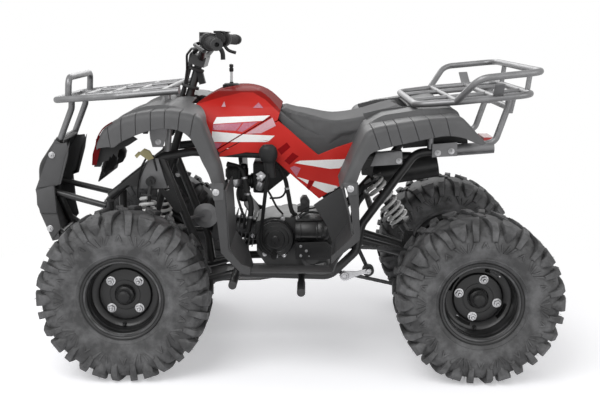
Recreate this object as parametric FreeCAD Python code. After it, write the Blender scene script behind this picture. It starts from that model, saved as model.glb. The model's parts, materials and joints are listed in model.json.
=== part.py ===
import FreeCAD, Part
import math
import os

# Quad bike: a mid-size utility quad with a tubular frame, double-wishbone front suspension, a solid rear
# axle on a swingarm, two tubular racks and moulded plastic bodywork.
# Millimetres. +X points forward, +Y to the rider's left, +Z up. The origin is on the ground under the
# middle of the overall box. The axles are at mid_x plus and minus half the wheelbase.

V = FreeCAD.Vector
os.makedirs("parts", exist_ok=True)

# Driving sizes
wheelbase = 980.0
front_overhang = 310.0
overall_width = 900.0
body_height = 800.0
front_tyre_diameter = 482.0
front_tyre_width = 178.0
rear_tyre_diameter = 464.0
rear_tyre_width = 240.0
bead_diameter = 203.0
bar_span = 722.0
bar_height = 925.0

# Stock sizes and gaps shared by many pieces
main_tube_radius = 12.5
light_tube_radius = 9.5
plate_thickness = 4.0
moulding_wall = 4.0
seat_gap = 0.3
running_gap = 0.3
cut_overrun = 20.0

half_width = overall_width / 2
mid_x = (rear_tyre_diameter / 2 - front_overhang) / 2
front_axle_x = mid_x + wheelbase / 2
rear_axle_x = mid_x - wheelbase / 2
front_radius = front_tyre_diameter / 2
rear_radius = rear_tyre_diameter / 2
bead_radius = bead_diameter / 2


# Helpers


def at(x_share, y_share, z_share):
    """A place given as shares of the wheelbase from its middle, of the half width and of the body height."""
    return V(mid_x + x_share * wheelbase, y_share * half_width, z_share * body_height)


def mirrored(shape):
    """The same piece on the rider's right."""
    return shape.mirror(V(0, 0, 0), V(0, 1, 0))


def both_sides(shape):
    return [shape, mirrored(shape)]


def fused(shapes):
    """One solid from pieces that are welded or moulded together."""
    whole = shapes[0].fuse(shapes[1:]) if len(shapes) > 1 else shapes[0]
    return whole.removeSplitter()


def rounded_path(points, bend):
    """Straight runs joined by tangent arcs of the given radius, at most what the shorter run allows."""
    edges = []
    start = points[0]
    for before, corner, after in zip(points, points[1:], points[2:]):
        back = (before - corner)
        ahead = (after - corner)
        shorter = min(back.Length, ahead.Length)
        back.normalize()
        ahead.normalize()
        half_turn = (math.pi - back.getAngle(ahead)) / 2
        radius = min(bend, 0.49 * shorter / math.tan(half_turn))
        setback = radius * math.tan(half_turn)
        inward = back + ahead
        inward.normalize()
        middle = corner + inward * (radius / math.cos(half_turn) - radius)
        arc_start = corner + back * setback
        arc_end = corner + ahead * setback
        edges.append(Part.LineSegment(start, arc_start).toShape())
        edges.append(Part.Arc(arc_start, middle, arc_end).toShape())
        start = arc_end
    edges.append(Part.LineSegment(start, points[-1]).toShape())
    return Part.Wire(edges)


def bar(points, radius, bend=45.0):
    """A round bar or closed tube that follows the points."""
    if len(points) == 2:
        run = points[1] - points[0]
        return Part.makeCylinder(radius, run.Length, points[0], run)
    path = rounded_path(points, bend)
    section = Part.Wire(Part.makeCircle(radius, points[0], points[1] - points[0]))
    return path.makePipeShell([section], True, False)


def rod(start, direction, length, radius):
    return Part.makeCylinder(radius, length, start, direction)


def centred_rod(centre, axis, length, radius):
    """A cylinder whose middle is at the given place."""
    unit = V(axis)
    unit.normalize()
    return Part.makeCylinder(radius, length, centre - unit * (length / 2), unit)


def face_of(points):
    return Part.Face(Part.makePolygon(points + points[:1]))


def side_plate(outline_shares, y_low, y_high):
    """A plate seen from the side: (x share, z share) corners, extruded between two widths."""
    corners = [at(x, 0, z) + V(0, y_low, 0) for x, z in outline_shares]
    return face_of(corners).extrude(V(0, y_high - y_low, 0))


def turned(profile, centre, axis):
    """A solid of revolution. The profile holds (radius, distance along the axis) pairs."""
    unit = V(axis)
    unit.normalize()
    across = unit.cross(V(0, 0, 1))
    if across.Length < 0.5:
        across = unit.cross(V(1, 0, 0))
    across.normalize()
    corners = [centre + across * radius + unit * along for radius, along in profile]
    return face_of(corners).revolve(centre, unit, 360)


def box_between(low, high):
    return Part.makeBox(high.x - low.x, high.y - low.y, high.z - low.z, low)


def save(name, shapes):
    """Writes one node from its solids."""
    solids = []
    for shape in shapes:
        solids.extend(shape.Solids)
    Part.makeCompound(solids).exportStep(os.path.join("parts", name + ".step"))


def places(shares):
    return [at(x, y, z) for x, y, z in shares]


def curved(shares, parts):
    """The same outline with points added between, on a smooth curve through the given ones."""
    ends = [shares[0]] + shares + [shares[-1]]
    line = []
    for group in zip(ends, ends[1:], ends[2:], ends[3:]):
        for step in range(parts):
            t = step / parts
            line.append(tuple((2 * b + (c - a) * t + (2 * a - 5 * b + 4 * c - d) * t ** 2
                               + (3 * b - a - 3 * c + d) * t ** 3) / 2 for a, b, c, d in zip(*group)))
    return line + [shares[-1]]


def offset_line(points, distance):
    """The open outline moved sideways in the X-Z plane, to its right when positive."""
    moved = []
    count = len(points)
    for index, point in enumerate(points):
        before = points[max(index - 1, 0)]
        after = points[min(index + 1, count - 1)]
        first = (point - before) if index > 0 else (after - point)
        last = (after - point) if index < count - 1 else (point - before)
        first.normalize()
        last.normalize()
        normal = V(first.z, 0, -first.x) + V(last.z, 0, -last.x)
        normal.normalize()
        stretch = 1 / max(0.5, normal.dot(V(first.z, 0, -first.x)))
        moved.append(point + normal * (distance * stretch))
    return moved


def strip(line_shares, thickness, y_low, y_high):
    """A moulded sheet seen edge-on from the side, of even thickness, between two widths."""
    top = [at(x, 0, z) + V(0, y_low, 0) for x, z in line_shares]
    under = offset_line(top, thickness)
    return face_of(top + under[::-1]).extrude(V(0, y_high - y_low, 0))


# Wheels and tyres

front_track_inset = 15.0
front_wheel_y = half_width - front_track_inset - front_tyre_width / 2
rear_wheel_y = half_width - rear_tyre_width / 2
front_centre = V(front_axle_x, front_wheel_y, front_radius)
rear_centre = V(rear_axle_x, rear_wheel_y, rear_radius)
flange_height = 14.0
flange_radius = bead_radius + flange_height
rim_wall = 4.0
rim_width_share = 0.79
bead_thickness = 12.0
lug_root = 6.0
lug_rows = 20
LEFT = V(0, 1, 0)

# Tyre sections: (share of the way from rim flange to lug tip, share of the half width)
casing_shares = [(0.40, 0.96), (0.72, 0.93), (0.89, 0.68)]
lining_shares = [(0.45, 0.87), (0.81, 0.60)]
lug_cover_shares = [(0.60, 0.995), (0.86, 0.98), (1.0, 0.74)]
# Lug outlines in the tread: (share of the row spacing, share of the half width)
shoulder_lug_shares = [(-0.26, 1.06), (0.16, 1.06), (0.30, 0.56), (-0.02, 0.50)]
centre_lug_shares = [(-0.50, 0.40), (-0.14, 0.46), (0.34, 0.04), (-0.02, 0.04)]


def two_sided(half_profile):
    """A profile given for the outer half of a wheel, completed with its mirror image."""
    return half_profile + [(radius, -along) for radius, along in half_profile[::-1]]


def ring(profile, centre, sides):
    """A closed profile of (radius, distance along the axle) pairs carried round the axle in flats."""
    stretch = 1 / math.cos(math.pi / sides)
    stations = []
    for step in range(sides):
        angle = 2 * math.pi * (step + 0.5) / sides
        out = V(math.sin(angle), 0, -math.cos(angle)) * stretch
        stations.append([centre + out * radius + LEFT * along for radius, along in profile])
    faces = []
    for step in range(sides):
        near, far = stations[step - 1], stations[step]
        for index in range(len(profile)):
            faces.append(face_of([near[index - 1], far[index - 1], far[index], near[index]]))
    solid = Part.Solid(Part.Shell(faces))
    return solid if solid.Volume > 0 else solid.reversed()


def tyre(centre, diameter, width):
    """A hollow casing in flats, one to each row of lugs, with shoulder and centre lugs on both halves."""
    half = width / 2
    tip = diameter / 2
    depth = tip - flange_radius
    rim_half = rim_width_share * half
    seat = bead_radius + seat_gap
    outer = [(seat, rim_half - seat_gap), (flange_radius + seat_gap, rim_half - seat_gap)]
    outer += [(flange_radius + r * depth, y * half) for r, y in casing_shares]
    inner = [(seat, rim_half - bead_thickness)]
    inner += [(flange_radius + r * depth, y * half) for r, y in lining_shares]
    casing = ring(two_sided(outer) + two_sided(inner)[::-1], centre, lug_rows)
    cover = [(flange_radius + r * depth, y * half) for r, y in lug_cover_shares]
    under = [(radius - lug_root, along) for radius, along in outer[3:]]
    under[0] = (under[0][0], under[0][1] - lug_root)
    layer = [centre + V(-tip / 2, y, -r) for r, y in two_sided(cover) + two_sided(under)[::-1]]
    lug_layer = face_of(layer).extrude(V(tip, 0, 0))
    pitch = 2 * math.pi * tip / lug_rows
    lugs = []
    for row in range(lug_rows):
        lean = 1 if row % 2 else -1
        row_shares = [shoulder_lug_shares] + ([centre_lug_shares] if row % 2 else [])
        for shares in row_shares:
            corners = [centre + V(lean * t * pitch, y * half, -tip / 2) for t, y in shares]
            lug = face_of(corners).extrude(V(0, 0, -tip)).common(lug_layer)
            other = lug.mirror(centre, LEFT)
            for block in (lug, other):
                block.rotate(centre, LEFT, 360 * row / lug_rows)
                lugs.append(block)
    return casing.fuse(lugs)


bolt_circle_radius = 55.0
stud_radius = 5.0
stud_clearance = 0.6
nut_radius = 9.0
nut_height = 9.0
disc_raised_radius = 70.0
centre_hole_radius = 28.0
disc_step = 8.0
window_radius = 9.0


def wheel_disc_holes(centre, face_y, first_angle):
    """Cutters for the four bolt holes."""
    cutters = []
    for step in range(4):
        angle = math.radians(first_angle + 90 * step)
        spot = centre + V(bolt_circle_radius * math.cos(angle), face_y,
                          bolt_circle_radius * math.sin(angle))
        cutters.append(centred_rod(spot, LEFT, cut_overrun * 2, stud_radius + stud_clearance))
    return cutters


def rim(centre, width, face_y, first_angle, windows):
    """A pressed steel rim: barrel, two flanges and a dished disc with a raised face."""
    half = rim_width_share * width / 2
    bore = bead_radius - rim_wall
    back = face_y - disc_step
    profile = [(flange_radius, half), (flange_radius, half + rim_wall), (bore, half + rim_wall),
               (bore, back + rim_wall), (disc_raised_radius + disc_step, back + rim_wall),
               (disc_raised_radius, face_y + rim_wall), (centre_hole_radius, face_y + rim_wall),
               (centre_hole_radius, face_y), (disc_raised_radius - rim_wall, face_y),
               (disc_raised_radius + rim_wall, back), (bore, back), (bore, -half - rim_wall),
               (flange_radius, -half - rim_wall), (flange_radius, -half), (bead_radius, -half),
               (bead_radius, half),]
    solid = turned(profile, centre, LEFT)
    cutters = wheel_disc_holes(centre, face_y, first_angle)
    for step in range(windows):
        angle = math.radians(first_angle + 45 + 360 * step / windows)
        reach = disc_raised_radius + 2 * disc_step
        spot = centre + V(reach * math.cos(angle), face_y, reach * math.sin(angle))
        cutters.append(centred_rod(spot, LEFT, cut_overrun * 2, window_radius))
    return solid.cut(cutters)


hub_flange_radius = 64.0
hub_flange_thickness = 8.0
hub_barrel_radius = 30.0
hub_barrel_length = 30.0
hub_nose_radius = 26.0
hub_nose_length = 24.0


def hub(centre, face_y, first_angle, bore_radius, bore_from, bore_to):
    """A wheel hub with its flange behind the disc, four studs and nuts, and a nose through the rim."""
    front = face_y - hub_flange_thickness
    profile = [
        (0, front - hub_barrel_length), (hub_barrel_radius, front - hub_barrel_length),
        (hub_barrel_radius, front), (hub_flange_radius, front), (hub_flange_radius, face_y),
        (hub_nose_radius, face_y), (hub_nose_radius, face_y + hub_nose_length * 0.8),
        (hub_nose_radius * 0.8, face_y + hub_nose_length), (0, face_y + hub_nose_length),
    ]
    pieces = [turned(profile, centre, LEFT)]
    for step in range(4):
        angle = math.radians(first_angle + 90 * step)
        spot = centre + V(bolt_circle_radius * math.cos(angle), face_y,
                          bolt_circle_radius * math.sin(angle))
        pieces.append(rod(spot, LEFT, rim_wall + nut_height + stud_radius, stud_radius))
        pieces.append(rod(spot + V(0, rim_wall, 0), LEFT, nut_height, nut_radius))
    whole = fused(pieces)
    start = centre + V(0, bore_from, 0)
    return whole.cut(rod(start, LEFT, bore_to - bore_from, bore_radius))


front_disc_y = 18.0
rear_disc_y = 30.0
spindle_radius = 12.0
spindle_overhang = 8.0
spindle_end_y = front_disc_y + spindle_overhang

front_tyre = tyre(front_centre, front_tyre_diameter, front_tyre_width)
save("front_tyre_left", [front_tyre])
save("front_tyre_right", [mirrored(front_tyre)])
front_rim = rim(front_centre, front_tyre_width, front_disc_y, 45, 0)
save("front_rim_left", [front_rim])
save("front_rim_right", [mirrored(front_rim)])
hub_back_y = front_disc_y - hub_flange_thickness - hub_barrel_length
front_hub = hub(front_centre, front_disc_y, 45, spindle_radius + running_gap,
                hub_back_y - cut_overrun, spindle_end_y + running_gap)
save("front_hub_left", [front_hub])
save("front_hub_right", [mirrored(front_hub)])

rear_tyre = tyre(rear_centre, rear_tyre_diameter, rear_tyre_width)
save("rear_tyres", both_sides(rear_tyre))
rear_rim = rim(rear_centre, rear_tyre_width, rear_disc_y, 15, 4)
save("rear_rims", both_sides(rear_rim))

# Rear axle: one shaft with hubs, sprocket and brake disc

axle_radius = 15.0
sprocket_y = 120.0
sprocket_radius = 69.5
sprocket_thickness = 7.0
brake_disc_y = -105.0
boss_length = 26.0
boss_radius = 28.0
brake_disc_radius = 80.0
carrier_length = 120.0
axle_centre = V(rear_axle_x, 0, rear_radius)
shaft_end = rear_wheel_y + rear_disc_y + hub_nose_length / 2
rear_hub = hub(rear_centre, rear_disc_y, 15, axle_radius / 3, -cut_overrun * 4, -cut_overrun * 3)
axle_pieces = [centred_rod(axle_centre, LEFT, 2 * shaft_end, axle_radius)]
axle_pieces += both_sides(rear_hub)
sprocket_centre = axle_centre + V(0, sprocket_y, 0)
brake_centre = axle_centre + V(0, brake_disc_y, 0)
axle_pieces.append(centred_rod(sprocket_centre, LEFT, sprocket_thickness, sprocket_radius))
axle_pieces.append(centred_rod(sprocket_centre, LEFT, boss_length, boss_radius))
axle_pieces.append(centred_rod(brake_centre, LEFT, plate_thickness, brake_disc_radius))
axle_pieces.append(centred_rod(brake_centre, LEFT, boss_length, boss_radius))
save("rear_axle", [fused(axle_pieces)])
# Frame: two side loops, upper rails and cross tubes, all welded

frame_bend = 55.0
lower_rail_shares = [(0.5918, 0.2267, 0.5687), (0.5980, 0.2267, 0.2575), (0.3061, 0.2400, 0.2600),
                     (0.2041, 0.2489, 0.2925), (-0.0857, 0.3111, 0.2925), (-0.1673, 0.3378, 0.3950),
                     (-0.1796, 0.3556, 0.4950), (-0.3367, 0.3733, 0.7638), (-0.5673, 0.3733, 0.7850)]
upper_rail_shares = [(0.5898, 0.2267, 0.5875), (0.4286, 0.2756, 0.7400), (0.3367, 0.2222, 0.7550),
                     (0.1224, 0.2044, 0.7450), (-0.1531, 0.2667, 0.7475), (-0.3245, 0.3556, 0.7500)]
down_tube_shares = [(0.4265, 0.2711, 0.7350), (0.3143, 0.2489, 0.3750), (0.3020, 0.2400, 0.2625)]
middle_rail_shares = [(0.3286, 0.2489, 0.4000), (0.5939, 0.2311, 0.4000)]
side_tubes = []
for shares, radius in (
    (lower_rail_shares, main_tube_radius), (upper_rail_shares, main_tube_radius),
    (down_tube_shares, main_tube_radius), (middle_rail_shares, light_tube_radius),
):
    side_tubes.append(bar(places(shares), radius, frame_bend))

cross_tube_shares = [(0.5918, 0.2311, 0.5725), (0.5949, 0.2311, 0.4000), (0.5265, 0.2311, 0.2575),
                     (0.4082, 0.2356, 0.2575), (0.4286, 0.2800, 0.7375), (0.0612, 0.2800, 0.2925),
                     (-0.0857, 0.3111, 0.2950), (-0.1633, 0.3378, 0.4125), (-0.2102, 0.3733, 0.5475),
                     (-0.2041, 0.2889, 0.7475), (-0.5510, 0.3778, 0.7837),]
cross_tubes = []
for share in cross_tube_shares:
    end = at(*share)
    cross_tubes.append(centred_rod(V(end.x, 0, end.z), LEFT, 2 * end.y, light_tube_radius))

# Steering column line: a raked axis from the handlebar clamp to the foot of the stem
column_top_share = (0.3173, 0.0000, 1.0888)
column_foot_share = (0.5255, 0.0000, 0.2700)
column_top = at(*column_top_share)
column_foot = at(*column_foot_share)
column_axis = column_top - column_foot
column_length = column_axis.Length
column_axis.normalize()
stem_radius = 12.0
bearing_radius = 21.0
upper_bearing_share = 0.55
bearing_length = 34.0
foot_overlap = 6.0


def on_column(share):
    return column_foot + column_axis * (column_length * share)


upper_bearing = on_column(upper_bearing_share)
bearings = [
    centred_rod(upper_bearing, column_axis, bearing_length, bearing_radius),
    rod(column_foot - column_axis * foot_overlap, column_axis, bearing_length * 0.7, bearing_radius),
]
bearing_arm_share = (0.4327, 0.0000, 0.7350)
bearings.append(bar([at(*bearing_arm_share), upper_bearing], light_tube_radius))

# Brackets on the frame that hold the suspension arms
arm_eye_radius = 13.0
arm_eye_length = 34.0
lower_pivot_shares = [(0.4122, 0.3000, 0.2575), (0.5714, 0.3000, 0.2575)]
upper_pivot_shares = [(0.3918, 0.3067, 0.3975), (0.5510, 0.3067, 0.3975)]


def pivot_bracket(place, rail_y):
    """Two ears on a rail, either side of a suspension arm's eye, with the pivot bolt through them."""
    ears = []
    for way in (-1, 1):
        low = V(place.x - plate_thickness / 2, rail_y, place.z - arm_eye_radius)
        high = V(place.x + plate_thickness / 2, place.y + stud_radius, place.z + arm_eye_radius)
        shift = V(way * (arm_eye_length / 2 + plate_thickness / 2 + seat_gap), 0, 0)
        ears.append(box_between(low + shift, high + shift))
    bolt = centred_rod(place, V(1, 0, 0), arm_eye_length + 4 * plate_thickness, stud_radius)
    return ears + [bolt]


brackets = []
for share in lower_pivot_shares:
    brackets += pivot_bracket(at(*share), at(*(0.0000, 0.2400, 0.0000)).y)
for share in upper_pivot_shares:
    brackets += pivot_bracket(at(*share), at(*(0.0000, 0.2400, 0.0000)).y)

# Gusset plate between the front tubes, which carries the front shock absorber
gusset_shares = [(0.4327, 0.7500), (0.4102, 0.7000), (0.3633, 0.5375), (0.3837, 0.5300), (0.4388, 0.6250),
                 (0.5306, 0.6350), (0.5561, 0.6125), (0.5592, 0.6275), (0.4388, 0.7375)]
gusset_y = 136.0
gusset = side_plate(gusset_shares, gusset_y - 2 * plate_thickness, gusset_y - plate_thickness)
front_shock_top_share = (0.4551, 0.3467, 0.6550)
front_shock_low_share = (0.4816, 0.4711, 0.2900)
front_shock_top = at(*front_shock_top_share)
front_shock_low = at(*front_shock_low_share)
shock_eye_radius = 13.0
shock_eye_length = 24.0
shock_bolt_radius = 5.0
gusset_holes = []
for share in ((0.4122, 0.0000, 0.6250), (0.4327, 0.0000, 0.6950)):
    gusset_holes.append(centred_rod(at(*share), LEFT, 2 * half_width, light_tube_radius))
gusset = gusset.cut(gusset_holes)
front_shock_bolt = rod(V(front_shock_top.x, gusset_y - 2 * plate_thickness, front_shock_top.z), LEFT,
                       front_shock_top.y + shock_eye_length - gusset_y, shock_bolt_radius)
gusset_ear = centred_rod(V(front_shock_top.x, gusset_y - plate_thickness, front_shock_top.z), LEFT,
                         2 * plate_thickness, 2 * shock_eye_radius)

# Rear shock hangers, swingarm pivot lugs and engine hangers
rear_shock_top_share = (-0.2041, 0.0000, 0.6675)
rear_shock_low_share = (-0.3388, 0.0000, 0.4125)
rear_shock_top = at(*rear_shock_top_share)
rear_shock_low = at(*rear_shock_low_share)
shock_ear_shares = [(-0.2306, 0.7575), (-0.1796, 0.7575), (-0.1878, 0.6500), (-0.2204, 0.6500)]
shock_ears = side_plate(shock_ear_shares, shock_eye_length / 2 + seat_gap,
                        shock_eye_length / 2 + seat_gap + plate_thickness)
shock_top_bolt = centred_rod(rear_shock_top, LEFT, shock_eye_length + 4 * plate_thickness,
                             shock_bolt_radius)

frame_half = fused(side_tubes + brackets + [gusset, gusset_ear, front_shock_bolt])
frame = fused(both_sides(frame_half) + cross_tubes + bearings + both_sides(shock_ears) + [shock_top_bolt])
stem_bore = rod(column_foot - column_axis * cut_overrun, column_axis, column_length,
                stem_radius + running_gap)
frame = frame.cut(stem_bore)

# Suspension arms: each a bent fork of tube with two inner eyes and a ball joint

caster_degrees = 8.0
kingpin_y = 286.0
kingpin_centre = V(front_axle_x, kingpin_y, front_radius)
kingpin_axis = V(-math.sin(math.radians(caster_degrees)), 0, math.cos(math.radians(caster_degrees)))
ball_spread = 50.0
ball_radius = 13.0
lower_ball = kingpin_centre - kingpin_axis * ball_spread
upper_ball = kingpin_centre + kingpin_axis * ball_spread
arm_tube_radius = 9.0
joint_thickness = 14.0


def wishbone(ball, pivots, way, bridge_share):
    """Two legs from the pivot eyes to the ball joint socket, which sits beyond the knuckle's end."""
    socket = ball + kingpin_axis * (way * (ball_radius + joint_thickness / 2 + seat_gap))
    pieces = [centred_rod(socket, kingpin_axis, joint_thickness, ball_radius * 1.3)]
    for pivot in pivots:
        pieces.append(centred_rod(pivot, V(1, 0, 0), arm_eye_length, arm_eye_radius))
        pieces.append(bar([pivot, socket], arm_tube_radius))
    bridge_ends = [pivot + (socket - pivot) * bridge_share for pivot in pivots]
    pieces.append(bar(bridge_ends, arm_tube_radius * 0.8))
    reach = ball_spread + ball_radius + seat_gap
    upright_room = centred_rod(kingpin_centre, kingpin_axis, 2 * reach, ball_radius + seat_gap)
    whole = fused(pieces).cut(upright_room)
    holes = [centred_rod(pivot, V(1, 0, 0), 2 * arm_eye_length, stud_radius + seat_gap) for pivot in pivots]
    return whole.cut(holes)


lower_bridge_share = 0.42
upper_bridge_share = 0.74
lower_pivots = places(lower_pivot_shares)
upper_arm = wishbone(upper_ball, places(upper_pivot_shares), 1, upper_bridge_share)
lower_arm = wishbone(lower_ball, lower_pivots, -1, lower_bridge_share)
post_y = front_shock_low.y - shock_eye_length / 2 - 2 * plate_thickness
post_low = lower_pivots[0].z + (lower_ball.z - lower_pivots[0].z) * lower_bridge_share - arm_tube_radius
shock_post = box_between(
    V(front_shock_low.x - shock_eye_radius, post_y, post_low),
    V(front_shock_low.x + shock_eye_radius, post_y + plate_thickness, front_shock_low.z + shock_eye_radius))
post_boss = rod(V(front_shock_low.x, post_y, front_shock_low.z), LEFT, 2 * plate_thickness - seat_gap,
                shock_bolt_radius + plate_thickness)
lower_shock_bolt = rod(V(front_shock_low.x, post_y - plate_thickness, front_shock_low.z), LEFT,
                       shock_eye_length + 4 * plate_thickness, shock_bolt_radius)
lower_arm = fused([lower_arm, shock_post, post_boss, lower_shock_bolt])
front_arms = [lower_arm, upper_arm]

# Shock absorbers with their coil springs

spring_wire = 4.5
wire_flats = 5
flats_per_turn = 10
damper_radius = 12.0
damper_rod_radius = 6.0
spring_seat_thickness = 5.0


def shock(top, low, coil_radius):
    """A damper with an eye at each end and two spring seats."""
    line = low - top
    length = line.Length
    line.normalize()
    eyes = []
    for end in (top, low):
        eye = centred_rod(end, LEFT, shock_eye_length, shock_eye_radius)
        eyes.append(eye)
    body = rod(top + line * (length * 0.40), line, length * 0.60 - shock_eye_radius * 1.1, damper_radius)
    stem = rod(top + line * (shock_eye_radius * 0.8), line, length * 0.4, damper_rod_radius)
    seats = [
        rod(top + line * (length * 0.13), line, spring_seat_thickness, coil_radius + spring_wire),
        rod(top + line * (length * 0.80), line, spring_seat_thickness, coil_radius + spring_wire),
    ]
    tube_pieces = [body, stem] + seats
    for piece in tube_pieces:
        piece.rotate(top, line, 30)
    whole = fused(eyes + tube_pieces)
    holes = [centred_rod(end, LEFT, 2 * shock_eye_length, shock_bolt_radius + seat_gap) for end in (top,
                                                                                                    low)]
    return whole.cut(holes)


def spring(top, low, coil_radius, turns):
    """A coil spring between the two seats: a wire of flats wound on a helix."""
    line = low - top
    length = line.Length
    line.normalize()
    across = LEFT - line * LEFT.dot(line)
    across.normalize()
    third = line.cross(across)
    start = top + line * (length * 0.13 + spring_seat_thickness + spring_wire + seat_gap)
    span = length * 0.67 - spring_seat_thickness - 2 * (spring_wire + seat_gap)
    count = turns * flats_per_turn
    rings = []
    for step in range(count + 1):
        angle = 2 * math.pi * step / flats_per_turn
        out = across * math.cos(angle) + third * math.sin(angle)
        middle = start + out * coil_radius + line * (span * step / count)
        around = [2 * math.pi * side / wire_flats for side in range(wire_flats)]
        rings.append([middle + out * (spring_wire * math.cos(a)) + line * (spring_wire * math.sin(a))
                      for a in around])
    faces = [face_of(rings[0]), face_of(rings[-1])]
    for near, far in zip(rings, rings[1:]):
        for side in range(wire_flats):
            faces.append(face_of([near[side - 1], far[side - 1], far[side]]))
            faces.append(face_of([near[side - 1], far[side], near[side]]))
    solid = Part.Solid(Part.Shell(faces))
    return solid if solid.Volume > 0 else solid.reversed()


front_coil_radius = 20.0
rear_coil_radius = 27.0
front_shock = shock(front_shock_top, front_shock_low, front_coil_radius)
rear_shock = shock(rear_shock_top, rear_shock_low, rear_coil_radius)
front_spring = spring(front_shock_top, front_shock_low, front_coil_radius, 9)
rear_spring = spring(rear_shock_top, rear_shock_low, rear_coil_radius, 8)
save("shock_absorbers", both_sides(front_shock) + [rear_shock])
save("springs", both_sides(front_spring) + [rear_spring])
save("front_arms", front_arms + [mirrored(arm) for arm in front_arms])
save("frame", [frame])

# Knuckles, tie rods and steering stem

spindle_shoulder_radius = 19.0
rod_end_share = (0.5561, 0.0000, 0.3013)
steering_arm_length = at(*rod_end_share).x - front_axle_x
steering_arm_width = 16.0
kingpin_forward = LEFT.cross(kingpin_axis)
column_forward = LEFT.cross(column_axis)
pitman_share = 0.045
pitman_root = on_column(pitman_share)
pitman_half_spread = 24.0
pitman_end = pitman_root + column_forward * steering_arm_length + LEFT * pitman_half_spread
knuckle_arm_end = kingpin_centre + kingpin_forward * steering_arm_length + LEFT * pitman_half_spread
linkage_gap = 1.4
rod_end_radius = 10.0
rod_end_thickness = 10.0
tie_rod_radius = 6.5
arm_plate = 7.0

upright = bar([lower_ball - kingpin_axis * ball_radius, upper_ball + kingpin_axis * ball_radius],
              ball_radius)
spindle_length = front_wheel_y + spindle_end_y - kingpin_y
spindle = rod(kingpin_centre, LEFT, spindle_length, spindle_radius)
shoulder_length = front_wheel_y + hub_back_y - seat_gap - kingpin_y
shoulder = rod(kingpin_centre, LEFT, shoulder_length, spindle_shoulder_radius)


def arm_between(root, end, axis, root_half, end_half, thickness):
    """A flat lever of even thickness, square to the axis that it turns about, rounded at its end."""
    corners = [root - LEFT * root_half, root + LEFT * root_half, end + LEFT * end_half,
               end - LEFT * end_half]
    plate = face_of([corner - axis * (thickness / 2) for corner in corners]).extrude(axis * thickness)
    return plate.fuse(centred_rod(end, axis, thickness, end_half))


steering_arm = arm_between(kingpin_centre, knuckle_arm_end, kingpin_axis, steering_arm_width / 2,
                           rod_end_radius, arm_plate)
knuckle = fused([upright, spindle, shoulder, steering_arm])
save("knuckle_left", [knuckle])
save("knuckle_right", [mirrored(knuckle)])

# The rods hang under both levers, each end square to the axis that it turns about
tie_rod_drop = arm_plate / 2 + rod_end_thickness / 2 + running_gap
inner_end = pitman_end - column_axis * tie_rod_drop
outer_end = knuckle_arm_end - kingpin_axis * (tie_rod_drop + linkage_gap)
rod_neck_radius = rod_end_thickness * 0.4
rod_line = outer_end - inner_end
rod_neck_share = 0.12
tie_rod = fused([
    centred_rod(inner_end, column_axis, rod_end_thickness, rod_end_radius),
    centred_rod(outer_end, kingpin_axis, rod_end_thickness, rod_end_radius),
    bar([inner_end, outer_end], rod_neck_radius),
    bar([inner_end + rod_line * rod_neck_share, outer_end - rod_line * rod_neck_share], tie_rod_radius),
])
save("tie_rod_left", [tie_rod])
save("tie_rod_right", [mirrored(tie_rod)])

pitman_root_half = 1.2 * stem_radius
pitman_line = [pitman_root - LEFT * pitman_root_half, pitman_root + LEFT * pitman_root_half, pitman_end]
pitman_line.append(V(pitman_end.x, -pitman_end.y, pitman_end.z))
pitman = face_of([p - column_axis * (arm_plate / 2) for p in pitman_line]).extrude(column_axis * arm_plate)
pitman = pitman.fuse(both_sides(centred_rod(pitman_end, column_axis, arm_plate, rod_end_radius)))
stem = rod(column_foot, column_axis, column_length, stem_radius)
clamp_depth = 44.0
clamp_width = 120.0
clamp_height = 30.0
clamp_block = Part.makeBox(clamp_depth, clamp_width, clamp_height,
                           V(-clamp_depth, -clamp_width, -clamp_height) / 2)
clamp_block.Placement = FreeCAD.Placement(column_top, FreeCAD.Rotation(V(0, 0, 1), column_axis))
stem_pieces = [stem, pitman, clamp_block]

# Handlebar, its pad, grips with levers, and the control cables

bar_radius = 11.0
bar_bend_radius = 40.0
grip_length = 118.0
grip_radius = 16.0
grip_hole_radius = 6.5
grip_hole_length = 12.0
half_bar = bar_span / 2
grip_end = V(at(*(0.2286, 0.0000, 0.0000)).x, half_bar, bar_height)
bar_points = places([(0.3061, 0.0000, 1.1025), (0.3061, 0.1378, 1.1025), (0.2837, 0.3889, 1.1475),
                     (0.2673, 0.4778, 1.1625)]) + [grip_end]
inner_run = bar_points[-1] - bar_points[-2]
inner_run.normalize()
tube_end_gap = grip_hole_length + plate_thickness
bar_points[-1] = bar_points[-1] - inner_run * tube_end_gap
bar_half = bar(bar_points, bar_radius, bar_bend_radius)
handlebar = fused([bar_half, mirrored(bar_half)])
cross_brace = bar(places([(0.2867, -0.3556, 1.1425), (0.2867, 0.3556, 1.1425)]), bar_radius * 0.7)
handlebar = fused([handlebar, cross_brace])
save("handlebar", [handlebar])
stem_piece = fused(stem_pieces).cut(centred_rod(bar_points[0], LEFT, 2 * clamp_width, bar_radius))
stem_piece = stem_piece.cut(bar_half).cut(mirrored(bar_half))
save("steering_stem", [stem_piece])

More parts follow.
